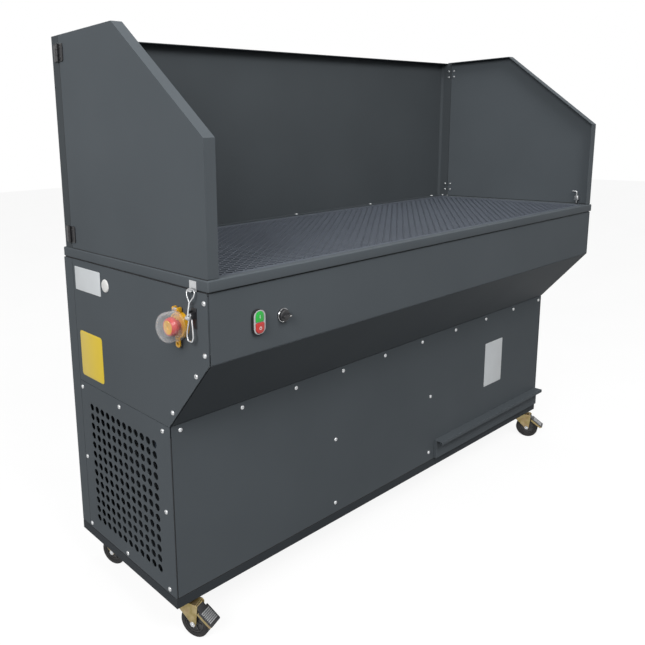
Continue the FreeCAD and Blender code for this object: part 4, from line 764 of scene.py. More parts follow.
def addWorktop():
    low, high = benchBox("mesh_worktop")
    weave = {"border": 16.0, "long way": 31.0, "short way": 23.0, "bond": 5.0, "tuck": 6.0}
    strand = {"width": 4.0, "thick": 1.8, "lean": 0.2}
    across = high.x - low.x - 2 * weave["border"] + 2 * weave["tuck"]
    deep = high.y - low.y - 2 * weave["border"] + weave["tuck"]
    columns = round(across / weave["long way"])
    rows = round(deep / (weave["short way"] / 2))
    net = Recipe("expanded_metal", {
        "Long way": across / columns, "Row step": deep / rows, "Bond": weave["bond"], "Columns": columns,
        "Rows": rows + 1, "Strand width": strand["width"], "Strand thick": strand["thick"],
        "Lean": strand["lean"], "Finish": meshPaint})
    index = net.node("GeometryNodeInputIndex")
    half = net.given("Long way") / 2
    knee = net.node("ShaderNodeMath", {"operation": "FLOOR"}, {0: index / 2})
    x = knee * half + (index % 2 - 0.5) * net.given("Bond")
    y = (knee % 2 - 0.5) * net.given("Row step")
    line = net.node("GeometryNodeMeshLine", {}, {"Count": net.given("Columns") * 4 + 2})
    zigzag = net.node("GeometryNodeSetPosition", {},
                      {"Geometry": line, "Position": net.node("ShaderNodeCombineXYZ", {}, {0: x, 1: y})})
    path = net.node("GeometryNodeMeshToCurve", {}, {"Mesh": zigzag})
    level = net.node("GeometryNodeSetCurveNormal", {"mode": "Z_UP"}, {"Curve": path})
    leaning = net.node("GeometryNodeSetCurveTilt", {}, {"Curve": level, "Tilt": net.given("Lean")})
    section = net.node("GeometryNodeCurvePrimitiveQuadrilateral", {},
                       {"Width": net.given("Strand width"), "Height": net.given("Strand thick")})
    ribbon = net.node("GeometryNodeCurveToMesh", {},
                      {"Curve": leaning, "Profile Curve": section, "Fill Caps": True})
    shifted = net.node("ShaderNodeCombineXYZ", {},
                       {0: (index % 2) * half, 1: index * net.given("Row step")})
    rowLine = net.node("GeometryNodeMeshLine", {}, {"Count": net.given("Rows")})
    starts = net.node("GeometryNodeSetPosition", {}, {"Geometry": rowLine, "Position": shifted})
    sheet = net.node("GeometryNodeInstanceOnPoints", {}, {"Points": starts, "Instance": ribbon})
    shape = bmesh.new()
    shape.from_mesh(net.made(sheet))
    middle = (low + high) / 2
    seen = boxOf([corner.co for corner in shape.verts])
    start = Vector((low.x + weave["border"] - weave["tuck"] - across / columns / 4,
                    low.y + weave["border"] - 1.0,
                    middle.z - (seen[0].z + seen[1].z) / 2))
    bmesh.ops.translate(shape, verts=shape.verts, vec=start)
    edge = weave["border"]
    outer = rectangle(low.x, high.x, low.y, high.y)
    inner = rectangle(low.x + edge, high.x - edge, low.y + edge, high.y - edge)
    plate(shape, Matrix.Translation((0, 0, low.z)), [eased(outer, 3, 3, True), inner], high.z - low.z, 0.8)
    addPiece("worktop_mesh", shape, [meshPaint], ["mesh_worktop"])
    print("worktop mesh:", columns, "by", rows)


addWorktop()


# Perforated panel at the left end

def ringOf(recipe, radius):
    return recipe.node("GeometryNodeCurvePrimitiveCircle", {},
                       {"Resolution": recipe.given("Sides"), "Radius": recipe.given(radius)}, "Curve")


def joinedOf(recipe, *parts):
    both = recipe.node("GeometryNodeJoinGeometry")
    for part in reversed(parts):
        recipe.tree.links.new(part.socket, both.socket.node.inputs[0])
    return both


def addGrille():
    low, high = benchBox("left_grille_panel")
    grid = {"columns": 12, "rows": 13, "pitch": 28.0, "radius": 10.3, "sides": 24, "front": 228.0,
            "bottom": 183.0}
    seats = [((point.y - low.y), (point.z - low.z)) for point, outward in panelBoltSeats
             if outward.x < -0.5 and point.z < high.z]
    spots = bpy.data.meshes.new("bolt_spots")
    spots.from_pydata([(-x, y, 0) for x, y in seats], [], [])
    sieve = Recipe("perforated_panel", {
        "Width": high.y - low.y, "Height": high.z - low.z, "Thick": high.x - low.x, "Pitch": grid["pitch"],
        "Columns": grid["columns"], "Rows": grid["rows"], "Hole": grid["radius"], "Sides": grid["sides"],
        "Bolt hole": 3.4, "First x": grid["front"] - low.y, "First y": grid["bottom"] - low.z,
        "Finish": paint})
    frameEdge = sieve.node("GeometryNodeCurvePrimitiveQuadrilateral", {},
                           {"Width": sieve.given("Width"), "Height": sieve.given("Height")}, "Curve")
    middle = sieve.node("ShaderNodeCombineXYZ", {},
                        {0: sieve.given("Width") / -2, 1: sieve.given("Height") / 2})
    outline = sieve.node("GeometryNodeTransform", {}, {"Geometry": frameEdge, "Translation": middle})
    pitch, columns, rows = sieve.given("Pitch"), sieve.given("Columns"), sieve.given("Rows")
    lattice = sieve.node("GeometryNodeMeshGrid", {}, {
        "Size X": pitch * (columns - 1), "Size Y": pitch * (rows - 1), "Vertices X": columns,
        "Vertices Y": rows}, "Mesh")
    offset = sieve.node("ShaderNodeCombineXYZ", {},
                        {0: (sieve.given("First x") + pitch * (columns - 1) / 2) * -1,
                                                     1: sieve.given("First y") + pitch * (rows - 1) / 2})
    centres = sieve.node("GeometryNodeTransform", {}, {"Geometry": lattice, "Translation": offset})
    square = sieve.node("GeometryNodeCurvePrimitiveQuadrilateral", {}, {"Width": pitch, "Height": pitch},
                        "Curve")
    holeEdge = ringOf(sieve, "Hole")
    tile = sieve.node("GeometryNodeFillCurve", {}, {"Curve": joinedOf(sieve, square, holeEdge)})
    tiles = sieve.node("GeometryNodeInstanceOnPoints", {}, {"Points": centres, "Instance": tile})
    field = sieve.node("GeometryNodeRealizeInstances", {}, {"Geometry": tiles})
    fieldEdge = sieve.node("GeometryNodeCurvePrimitiveQuadrilateral", {},
                           {"Width": pitch * columns, "Height": pitch * rows}, "Curve")
    stepped = sieve.node("GeometryNodeResampleCurve", {}, {"Curve": fieldEdge, "Count": (columns + rows) * 2})
    window = sieve.node("GeometryNodeTransform", {}, {"Geometry": stepped, "Translation": offset})
    boltEdges = sieve.node("GeometryNodeInstanceOnPoints", {},
                           {"Points": sieve.given("Geometry"), "Instance": ringOf(sieve, "Bolt hole")})
    boltHoles = sieve.node("GeometryNodeRealizeInstances", {}, {"Geometry": boltEdges})
    margin = sieve.node("GeometryNodeFillCurve", {}, {"Curve": joinedOf(sieve, outline, window, boltHoles)})
    flat = sieve.node("GeometryNodeMergeByDistance", {},
                      {"Geometry": joinedOf(sieve, field, margin), "Distance": 0.01})
    thick = sieve.node("GeometryNodeExtrudeMesh", {},
                       {"Mesh": flat, "Offset Scale": sieve.given("Thick"), "Individual": False}, "Mesh")
    turned = sieve.node("GeometryNodeFlipFaces", {}, {"Mesh": flat})
    merged = sieve.node("GeometryNodeMergeByDistance", {},
                        {"Geometry": joinedOf(sieve, thick, turned), "Distance": 0.01})
    shape = bmesh.new()
    shape.from_mesh(sieve.made(merged, spots))
    shape.transform(seat((high.x, low.y, low.z), (-1, 0, 0)))
    addPiece("grille_panel", shape, [paint], ["left_grille_panel"])
    print("grille:", grid["columns"], "by", grid["rows"])


# Fasteners

def boltItem(name, head, height, shank, reach, socket, sides=18):
    shape = bmesh.new()
    steps = 5
    profile = [(0, -reach), (shank, -reach), (shank, 0), (head, 0), (head, height * 0.16)]
    for step in range(1, steps + 1):                 # dome
        angle = math.pi / 2 * step / steps
        profile.append((socket * 0.62 + (head - socket * 0.62) * math.cos(angle),
                        height * 0.16 + height * 0.84 * math.sin(angle)))
    rings = [[Vector((*point, level)) for point in (circle(radius,
                                                           sides) if radius > 0.001 else [Vector((0, 0))])]
             for radius, level in profile]
    for level in (height - 0.1, height * 0.35):      # hexagon socket
        rings.append([Vector((*point, level)) for point in hexagon(socket, sides)])
    rings.append([Vector((0, 0, height * 0.3))])
    skin(shape, rings)
    bmesh.ops.recalc_face_normals(shape, faces=shape.faces)
    bmesh.ops.scale(shape, verts=shape.verts, vec=(0.001,) * 3)
    mesh = bpy.data.meshes.new(name)
    shape.to_mesh(mesh)
    shape.free()
    return bpy.data.objects.new(name, mesh)


def scatter(name, item, seats, finish, nodes, seed, body=None):
    spots = bpy.data.meshes.new(name + "_spots")
    spots.from_pydata([toFrame @ point for point, _ in seats], [], [])
    aim = spots.attributes.new("aim", "FLOAT_VECTOR", "POINT")
    aim.data.foreach_set("vector", [value for _, outward in seats for value in outward])
    spread = Recipe(name + "_spread", {"Item": item, "Seed": seed, "Most turn": fullTurn, "Finish": finish})
    heading = spread.node("GeometryNodeInputNamedAttribute", {"data_type": "FLOAT_VECTOR"}, {"Name": "aim"})
    facing = spread.node("FunctionNodeAlignRotationToVector", {"axis": "Z"}, {"Vector": heading})
    angle = spread.node("FunctionNodeRandomValue", {"data_type": "FLOAT"},
                        {"Min": 0.0, "Max": spread.given("Most turn"), "Seed": spread.given("Seed")})
    twist = spread.node("FunctionNodeAxisAngleToRotation", {}, {"Axis": (0, 0, 1), "Angle": angle})
    turned = spread.node("FunctionNodeRotateRotation", {"rotation_space": "LOCAL"},
                         {"Rotation": facing, "Rotate By": twist})
    thing = spread.node("GeometryNodeObjectInfo", {}, {"Object": spread.given("Item"), "As Instance": True},
                        "Geometry")
    copies = spread.node("GeometryNodeInstanceOnPoints", {},
                         {"Points": spread.given("Geometry"), "Instance": thing, "Rotation": turned})
    mesh = spread.made(copies, spots)
    body = body or bodyOf[nodes[0]]
    return placed(name, mesh, body, nodes, 38)


def headSeats(node, headHeight, total):              # head seats and outward directions of straight bolts
    seats = []
    for island in islandsOf(node):
        low, high = boxOf(island)
        size = high - low
        axis = min(range(3), key=lambda a: abs(size[a] - total))
        centre = (low + high) / 2

        def fromAxis(point):
            along = Vector([(point - centre)[a] if a == axis else 0 for a in range(3)])
            return (point - centre - along).length

        widest = max(fromAxis(point) for point in island)
        heads = [point[axis] for point in island if fromAxis(point) > widest * 0.95]
        outward = Vector([0, 0, 0])
        outward[axis] = 1 if sum(heads) / len(heads) > centre[axis] else -1
        seats.append((centre + outward * (total / 2 - headHeight), outward))
    return seats


panelBolt = {"head": 6.0, "height": 3.4, "shank": 3.0, "reach": 9.0, "socket": 4.0}
panelBoltSeats = headSeats("panel_bolts", panelBolt["height"], panelBolt["height"] + panelBolt["reach"])
scatter("panel_bolt_set", boltItem("panel_bolt", **panelBolt), panelBoltSeats, zinc, ["panel_bolts"], 7)
addGrille()
print("panel bolts:", len(panelBoltSeats))


# Hinges of the wings

def nutSeats(seats, through=5.0):                    # where the nuts of such screws sit, inside the sheet
    return [(point - outward * through, -outward) for point, outward in seats]


def addHinges():
    spec = {"leaf": 24.0, "thick": 3.0, "height": 44.0, "barrel": 5.0, "pin": 2.6, "gap": 0.3, "round": 4.0,
            "screw": 12.0}
    third = spec["height"] / 6
    clear = spec["barrel"] + spec["gap"]
    levels = sorted({round(sum(point.z for point in island) / len(island))
                     for island in islandsOf("hinge_pins")})
    fixed = bmesh.new()
    moving = {-1: bmesh.new(), 1: bmesh.new()}
    screws = {-1: [], 0: [], 1: []}
    for side in (-1, 1):
        axis = jointAt[("left" if side < 0 else "right") + "_wing_hinge"]
        face = axis.x - side * (spec["barrel"] + 0.2)            # the sheet that the leaves lie on
        for level in levels:
            bottom, top = -spec["height"] / 2, spec["height"] / 2
            knuckle = third + spec["gap"] / 2
            fixedOutline = [(0, bottom), (spec["leaf"], bottom), (spec["leaf"], top), (0, top), (0, knuckle),
                            (clear, knuckle), (clear, -knuckle), (0, -knuckle)]
            knuckle = third - spec["gap"] / 2
            movingOutline = [(-clear, bottom), (-clear, -knuckle), (0, -knuckle), (0, knuckle),
                             (-clear, knuckle),
                             (-clear, top), (-spec["leaf"], top), (-spec["leaf"], bottom)]
            place = seat((face, axis.y, level), (side, 0, 0))
            for shape, outline, radii in (
                    (fixed, fixedOutline, [0, spec["round"], spec["round"], 0, 0, 0, 0, 0]),
                    (moving[side], movingOutline, [0, 0, 0, 0, 0, 0, spec["round"], spec["round"]])):
                flat = [Vector((y * side, z)) for y, z in outline]
                if side < 0:
                    flat = [Vector((-y, z)) for y, z in outline]
                plate(shape, place, [eased(flat, radii, 4, True)], spec["thick"], 0.5)
            for shape, low, high in ((fixed, bottom, -third - spec["gap"] / 2),
                                     (moving[side], spec["gap"] / 2 - third, third - spec["gap"] / 2),
                                     (fixed, third + spec["gap"] / 2, top)):
                wall = [(spec["pin"], low), (spec["barrel"] - 0.5, low), (spec["barrel"], low + 0.5),
                        (spec["barrel"], high - 0.5), (spec["barrel"] - 0.5, high), (spec["pin"], high)]
                lathe(shape, Matrix.Translation((axis.x, axis.y, level)), wall, 28, 0, True)
            for step in (-spec["screw"], spec["screw"]):
                at = face + side * spec["thick"]
                screws[0].append((Vector((at, axis.y + spec["screw"], level + step)), Vector((side, 0, 0))))
                screws[side].append((Vector((at, axis.y - spec["screw"], level + step)),
                                     Vector((side, 0, 0))))
    addPiece("hinge_leaves_fixed", fixed, [blackSteel], ["hinge_fixed_leaves"])
    for side, name in ((-1, "left"), (1, "right")):
        addPiece(name + "_hinge_leaves", moving[side], [blackSteel], [name + "_wing_hinge_leaves"])
    item = boltItem("hinge_screw", 3.2, 1.4, 2.0, 8.0, 2.2, 12)
    nut = boltItem("hinge_nut", 4.4, 3.8, 2.0, 0.5, 2.4, 12)
    scatter("hinge_screw_set", item, screws[0], blackSteel, ["hinge_screws"], 3)
    scatter("hinge_nut_set", nut, nutSeats(screws[0]), zinc, (), 4, "cabinet")
    for side, name in ((-1, "left"), (1, "right")):
        scatter(name + "_hinge_screw_set", item, screws[side], blackSteel, (), 5, name + "_wing")
        scatter(name + "_hinge_nut_set", nut, nutSeats(screws[side]), zinc, (), 6, name + "_wing")


addHinges()


# Drop bolts of the wings

def addDropBolts():
    spec = {"radius": 3.0, "bend": 4.5, "bore": 3.1, "round": 3.0}
    for name in ("left", "right"):
        low, high = benchBox(name + "_drop_bolt")
        x = (low.x + high.x) / 2
        y = low.y + spec["radius"]
        top = high.z - spec["radius"]
        path = [(x, y, low.z + spec["radius"]), (x, y, top), (x, high.y - spec["radius"], top)]
        shape = bmesh.new()
        tube(shape, eased(path, spec["bend"], 6), spec["radius"], 18)
        addPiece(name + "_bolt_rod", shape, [zinc], [name + "_drop_bolt"])
        low, high = benchBox(name + "_bolt_guide")
        inner = low.x if name == "left" else high.x
        outline = rectangle(low.x, high.x, low.y, high.y)
        radii = [0.3 if point[0] == inner else spec["round"] for point in outline]
        shape = bmesh.new()
        plate(shape, Matrix.Translation((0, 0, low.z)),
              [eased(outline, radii, 4, True), circle(spec["bore"], 24, (x, y))], high.z - low.z, 0.5)
        addPiece(name + "_guide", shape, [zinc], [name + "_bolt_guide"])


addDropBolts()
print("hinges and drop bolts")


# Castors

def addCastors():
    fork = {"sheet": 2.5, "cheek": 15.2, "crown": 90.7, "top": 94.7, "race": 101.7, "raceRadius": 23.0,
            "rear": 22.0, "axle": 4.0}
    tyre = {"radius": 40.0, "half": 14.0, "dish": 27.0, "deep": 6.0, "hub": 10.0, "bore": 4.1, "round": 4.5}
    for corner in ("front_left", "front_right", "rear_left", "rear_right"):
        swivel = jointAt["castor_swivel_" + corner]
        roll = jointAt["castor_roll_" + corner]
        trailing = Vector((roll.x - swivel.x, roll.y - swivel.y, 0))
        trail = trailing.length
        turn = math.atan2(trailing.y, trailing.x)
        stand = Matrix.Translation((swivel.x, swivel.y, 0)) @ Matrix.Rotation(turn, 4, "Z")
        side = stand @ seat((0, 0, 0), (0, -1, 0))               # local x along the trail, local y up
        axle = roll.z
        outline = [(-fork["rear"], fork["top"]), (trail + 8, fork["top"]), (trail + 14, fork["crown"]),
                   (trail + 9, axle + 2), (trail + 5, axle - 8), (trail - 5, axle - 8),
                   (trail - 10, axle + 2),
                   (-fork["rear"], fork["crown"] - 7)]
        radii = [1.5, 4, 5, 12, 5, 5, 12, 6]
        shape = bmesh.new()
        for y in (-fork["cheek"] - fork["sheet"], fork["cheek"]):
            cheekPlace = raised(side, -y - fork["sheet"])
            plate(shape, cheekPlace, [eased(outline, radii, 4, True)], fork["sheet"], 0.6)
        crownLow, crownHigh = -fork["cheek"] - 0.8, fork["cheek"] + 0.8
        crownOutline = rectangle(-fork["rear"], trail + 8, crownLow, crownHigh)
        plate(shape, raised(stand, fork["crown"]),
              [eased(crownOutline, 1, 2, True), circle(6.1, 20)], fork["top"] - fork["crown"], 0.5)
        cup = [(6.1, fork["crown"] + 0.4), (fork["raceRadius"] - 4, fork["crown"] + 0.4),
               (fork["raceRadius"] - 1, fork["crown"] + 2), (fork["raceRadius"], fork["crown"] + 5),
               (fork["raceRadius"] - 1.4, fork["race"] - 4.6), (fork["raceRadius"], fork["race"] - 3.6),
               (fork["raceRadius"] - 0.6, fork["race"] - 0.8), (fork["raceRadius"] - 2, fork["race"]),
               (6.1, fork["race"])]
        lathe(shape, stand, cup, 40, 0, True)
        for way in (-1, 1):                                      # axle bolt's head and nut
            base = side @ Matrix.Translation((trail, axle, way * (fork["cheek"] + fork["sheet"])))
            rings = [ringAt(base, hexagon(size, 12), way * level)
                     for size, level in ((12.4, 0), (13.0, 0.5), (13.0, 3.2), (11.6, 3.9))]
            skin(shape, rings, 1)
        reach = fork["cheek"] + fork["sheet"] + (5.4 if corner.startswith("front") else 4.6)
        lathe(shape, side @ Matrix.Translation((trail, axle, 0)),
              [(0, -reach), (2.8, -reach), (3.4, 0.8 - reach), (fork["axle"], 1 - reach),
               (fork["axle"], reach - 1),
               (3.4, reach - 0.8), (2.8, reach), (0, reach)], 20, 1)
        addPiece("castor_fork_set_" + corner, shape, [castorZinc, zinc], ["castor_fork_" + corner])
        addWheel(corner, side @ Matrix.Translation((trail, axle, 0)), tyre)
        if corner.startswith("front"):
            addPedal(corner.split("_")[1], stand)
    addCastorPlates()


def addWheel(corner, place, tyre):
    half, radius = tyre["half"], tyre["radius"]
    shape = bmesh.new()
    outer = [(tyre["dish"], -half + 0.6), (tyre["dish"] + 4, -half), (radius, -half), (radius + 0.01, 0),
             (radius, half), (tyre["dish"] + 4, half), (tyre["dish"], half - 0.6)]
    tread = eased(outer, [0, 1.5, tyre["round"], 0, tyre["round"], 1.5, 0], 5)
    inner = rectangle(tyre["dish"], tyre["dish"] - 1.2, half - tyre["deep"], tyre["deep"] - half)
    lathe(shape, place, tread + inner, 64, 0, True)
    web = half - tyre["deep"]
    rim = [(tyre["bore"], -half + 0.5), (tyre["hub"] - 0.8, -half + 0.5), (tyre["hub"], 1.3 - half),
           (tyre["hub"] + 0.6, -web), (tyre["dish"] - 3.5, -web), (tyre["dish"] - 2.6, -web - 4),
           (tyre["dish"] - 0.9, -web - 4.3), (tyre["dish"] - 0.9, web + 4.3), (tyre["dish"] - 2.6, web + 4),
           (tyre["dish"] - 3.5, web), (tyre["hub"] + 0.6, web), (tyre["hub"], half - 1.3),
           (tyre["hub"] - 0.8, half - 0.5), (tyre["bore"], half - 0.5)]
    lathe(shape, place, rim, 48, 1, True)
    spokes = 6
    for step in range(spokes):                                   # spokes of the hub, on both faces
        spoke = place @ Matrix.Rotation(fullTurn * step / spokes, 4, "Z")
        for way in (-1, 1):
            low, high = sorted((way * (web - 0.5), way * (web + 3.4)))
            ribs = [(9.5, -1.1), (23.6, -0.9), (23.6, 0.9), (9.5, 1.1)]
            plate(shape, raised(spoke, low), [ribs], high - low, 0.3, 1)
    addPiece("castor_tyre_" + corner, shape, [finishes["wheel_rubber"], hubPlastic],
             ["castor_wheel_" + corner])


def addPedal(name, stand):
    spec = {"neck": 14.9, "neckLong": 13.0, "half": 22.0, "long": 52.0, "fall": 37.0, "thick": 3.0,
            "edge": 8.0,
            "edgeThick": 2.5, "hub": 4.5, "bore": 2.6, "root": 5.0, "round": 4.0}
    grip = {"ribs": 7, "start": 25.0, "pitch": 4.8, "wide": 17.0, "tall": 1.6}
    hinge = stand.inverted() @ jointAt["brake_pedal_" + name + "_hinge"]
    across = stand.to_3x3() @ Vector((0, 1, 0))
    half = spec["neck"]
    shape = bmesh.new()
    hub = [(spec["bore"], -half), (spec["hub"] - 0.6, -half), (spec["hub"], 0.6 - half),
           (spec["hub"], half - 0.6),
           (spec["hub"] - 0.6, half), (spec["bore"], half)]
    lathe(shape, seat(stand @ Vector((hinge.x, 0, hinge.z)), across), hub, 24, 0, True)
    slope = math.atan2(-spec["fall"], spec["long"])
    run = math.hypot(spec["fall"], spec["long"])
    ahead = stand.to_3x3() @ Vector((math.cos(slope), 0, math.sin(slope)))
    normal = stand.to_3x3() @ Vector((-math.sin(slope), 0, math.cos(slope)))
    origin = stand @ Vector((hinge.x, 0, hinge.z + spec["root"]))
    under = spec["thick"] * math.cos(slope)
    place = seat(origin - normal * under, normal, ahead)         # local y runs along the tread
    neckEnd = spec["neckLong"] / math.cos(slope)
    outline = [(-half, 0), (half, 0), (half, neckEnd), (spec["half"], neckEnd), (spec["half"], run),
               (-spec["half"], run), (-spec["half"], neckEnd), (-half, neckEnd)]
    radii = [1, 1, 0, 3, spec["round"], spec["round"], 3, 0]
    plate(shape, place, [eased(outline, radii, 5, True)], under, 0.7, 1)
    low, high = neckEnd + 0.3, run - 0.5
    flange = [(low, -spec["edge"]), (high - 3, -spec["edge"]), (high, 0), (low, 0)]
    for x in (-spec["half"], spec["half"] - spec["edgeThick"]):
        upright = place @ Matrix(((0, 0, 1, x), (1, 0, 0, 0), (0, 1, 0, under - 0.4), (0, 0, 0, 1)))
        plate(shape, upright, [eased(flange, [2, 3, 1, 0.5], 4, True)], spec["edgeThick"], 0.5)
    for rib in range(grip["ribs"]):
        y = grip["start"] + grip["pitch"] * rib
        bar = rectangle(-grip["wide"], grip["wide"], y - 1.2, y + 1.2)
        plate(shape, raised(place, under - 0.1), [eased(bar, 1.1, 3, True)], grip["tall"], 0.5, 2)
    addPiece("pedal_" + name, shape, [castorZinc, blackSteel, zinc], ["brake_pedal_" + name])


def addCastorPlates():
    sheet = {"thick": 3.0, "corner": 8, "hole": 3.4, "holeX": 34.0, "holeY": 24.0}
    bolt = {"across": 12.2, "tall": 4.5, "shank": 3}
    shape = bmesh.new()
    for island in islandsOf("castor_plates"):
        low, high = boxOf(island)
        bottom = high.z - sheet["thick"]
        centre = (low + high) / 2
        outline = rectangle(low.x, high.x, low.y, high.y)
        holes = [circle(sheet["hole"], 16, (centre.x + i * sheet["holeX"], centre.y + j * sheet["holeY"]))
                 for i in (-1, 1) for j in (-1, 1)]
        plate(shape, Matrix.Translation((0, 0, bottom)), [eased(outline, sheet["corner"], 5, True)] + holes,
              sheet["thick"], 0.5)
        pin = [(0, low.z), (7.5, low.z), (9.5, low.z + 1.2), (9.5, low.z + 3), (6, low.z + 3),
               (6, bottom + 0.5),
               (0, bottom + 0.5)]
        lathe(shape, Matrix.Translation((centre.x, centre.y, 0)), pin, 28)
    addPiece("castor_plate_set", shape, [castorZinc], ["castor_plates"])
    shape = bmesh.new()
    for island in islandsOf("castor_bolts"):
        low, high = boxOf(island)
        place = Matrix.Translation(((low.x + high.x) / 2, (low.y + high.y) / 2, 0))
        top = low.z + bolt["tall"]
        across, shank = bolt["across"], bolt["shank"]
        head = [(across - 1.2, low.z), (across, low.z + 0.5), (across, top - 0.2), (across - 0.6, top)]
        skin(shape, [ringAt(place, hexagon(size, 12), level) for size, level in head])
        stem = [(0, top - 0.2), (shank, top - 0.2), (shank, high.z - 0.6), (shank - 0.6, high.z), (0, high.z)]
        lathe(shape, place, stem, 14)
    addPiece("castor_bolt_set", shape, [zinc], ["castor_bolts"])


addCastors()
print("castors")


# Emergency stop under its clear guard

stopCollar = {"radius": 30.5, "deep": 12.0, "bore": 11.1, "neck": 14.8, "neckLong": 15, "lip": 24.5,
              "well": 22.5, "wellDeep": 3.4, "tab": 16.0, "tabLow": -50.0, "tabHigh": -25.0, "tabThick": 4,
              "hole": 3.2, "holeRise": 8, "earFoot": 24, "earThick": 3, "earsAt": (-10, 7), "pin": 1.5,
              "pinReach": 8.6, "sides": 64}
stopMushroom = {"back": 19.0, "front": 37.0, "radius": 21.0, "face": 15.5, "stem": 10.9, "stemLong": 25,
                "throat": 17.5, "edge": 0.8, "sides": 64}
stopGuard = {"wall": 1.8, "dome": 16.0, "gap": 0.3, "knuckle": 3.2, "knuckleBore": 1.6, "knuckleHalf": 6.7,
             "strapOut": 5.5, "strapIn": 1.2, "sides": 72}


def bushOutline(bore, radius, half, edge=0.4):
    side = [(radius - edge, half), (radius, half - edge)]
    return [(bore, -half)] + [(out, -up) for out, up in side] + side[::-1] + [(bore, half)]


def dropCaps(shape):
    caps = [face for face in shape.faces if len(face.verts) > 4]
    bmesh.ops.delete(shape, geom=caps, context="FACES_ONLY")


def addStopCollar(centre, place):
    collar = stopCollar
    bore, neck, radius, deep = collar["bore"], collar["neck"], collar["radius"], collar["deep"]
    well = deep - collar["wellDeep"]
    wall = [(bore, -collar["neckLong"]), (neck, -collar["neckLong"]), (neck, 0), (radius, 0),
            (radius - 0.4, 3), (radius - 2.4, deep), (collar["lip"], deep), (collar["well"], well),
            (bore + 2, well), (bore, well)]
    shape = bmesh.new()
    lathe(shape, place, eased(wall, [0, 0.5, 0, 0.6, 3, 1.6, 1.2, 1.6, 0.4, 0], 4), collar["sides"], 0, True)
    halfTab, thick = collar["tab"] / 2, collar["tabThick"]
    tab = rectangle(-halfTab, halfTab, collar["tabLow"], collar["tabHigh"])
    screwHole = circle(collar["hole"], 24, (0, collar["tabLow"] + collar["holeRise"]))
    plate(shape, raised(place, deep - thick), [eased(tab, [6, 6, 1, 1], 6, True), screwHole], thick, 0.8)
    hinge = jointAt["stop_guard_hinge"]
    pinUp, pinOut = hinge.z - centre.z, endFace - hinge.x
    ear = [(4, collar["earFoot"]), (deep, collar["earFoot"]), (deep, pinUp - 4), (pinOut + 3, pinUp - 3.4),
           (pinOut + 3, pinUp + 4), (4, pinUp + 4)]
    for y in collar["earsAt"]:                                   # ears that carry the guard's pin
        earPlace = Matrix.Translation((endFace, centre.y + y, centre.z)) @ Matrix(
            ((-1, 0, 0, 0), (0, 0, 1, 0), (0, 1, 0, 0), (0, 0, 0, 1)))
        plate(shape, earPlace, [eased(ear, [1, 1, 0.5, 2, 3, 3], 3, True)], collar["earThick"], 0.5)
    pinEnds = [(hinge.x, centre.y + way * collar["pinReach"], hinge.z) for way in (-1, 1)]
    tube(shape, pinEnds, collar["pin"], 14, 1)
    addPiece("stop_collar_moulding", shape, [yellow, zinc], ["stop_collar"])


def addStopMushroom(place):
    head = stopMushroom
    back, front, radius, face = head["back"], head["front"], head["radius"], head["face"]
    stemEnd, lip = back - head["stemLong"], front - head["edge"]
    shape = bmesh.new()
    body = [(0, stemEnd), (head["stem"], stemEnd), (head["stem"], back + 1), (head["throat"], back),
            (radius, back + 3), (radius, back + 9), (radius - 2.2, front - 1.2), (face + 0.6, front - 0.2),
            (face, lip)]
    lathe(shape, place, eased(body, [0, 0.4, 1, 1, 2.5, 4, 3, 0.4, 0], 4), head["sides"])
    dish = [(face, lip), (face - 0.7, front - 0.3), (9, front - 0.9), (4.2, front - 1.5),
            (3.8, front - 2.2), (0, front - 2.4)]
    lathe(shape, place, eased(dish, [0, 0.4, 6, 0.5, 0.4, 0], 3), head["sides"], 1)
    bmesh.ops.remove_doubles(shape, verts=shape.verts, dist=0.001)
    dropCaps(shape)
    addPiece("stop_mushroom", shape, [red, yellow], ["emergency_button"])


def addStopGuard(centre, place):
    hinge = jointAt["stop_guard_hinge"]
    low, high = benchBox("stop_guard")
    radius, far = (high.y - low.y) / 2, endFace - low.x
    near = stopCollar["deep"] + stopGuard["gap"]
    wall, dome, half = stopGuard["wall"], stopGuard["dome"], stopGuard["knuckleHalf"]
    outer = eased([(radius - wall, near), (radius, near), (radius, far), (0, far)], [0, 0.5, dome, 0], 8)
    inner = eased([(0, far - wall), (radius - wall, far - wall), (radius - wall, near + 0.1)],
                  [0, dome - wall, 0], 8)
    shape = bmesh.new()
    lathe(shape, place, outer + inner, stopGuard["sides"])
    dropCaps(shape)
    rimVerts = [corner for corner in shape.verts if corner.is_boundary]
    bmesh.ops.remove_doubles(shape, verts=rimVerts, dist=0.2)
    knuckle = bushOutline(stopGuard["knuckleBore"], stopGuard["knuckle"], half)
    lathe(shape, seat(hinge, (0, 1, 0)), knuckle, 24, 0, True)
    block(shape, (hinge.x - stopGuard["strapOut"], centre.y - half, centre.z + radius - 2.5),
          (hinge.x - stopGuard["strapIn"], centre.y + half, hinge.z + 0.8), 0.6)
    addPiece("stop_guard_shell", shape, [clear], ["stop_guard"])


def addEmergencyStop():
    low, high = benchBox("emergency_button")
    centre = Vector((endFace, (low.y + high.y) / 2, (low.z + high.z) / 2))
    place = seat(centre, (-1, 0, 0))
    addStopCollar(centre, place)
    addStopMushroom(place)
    addStopGuard(centre, place)


addEmergencyStop()
print("emergency stop")


# Push-buttons and selector on the fascia

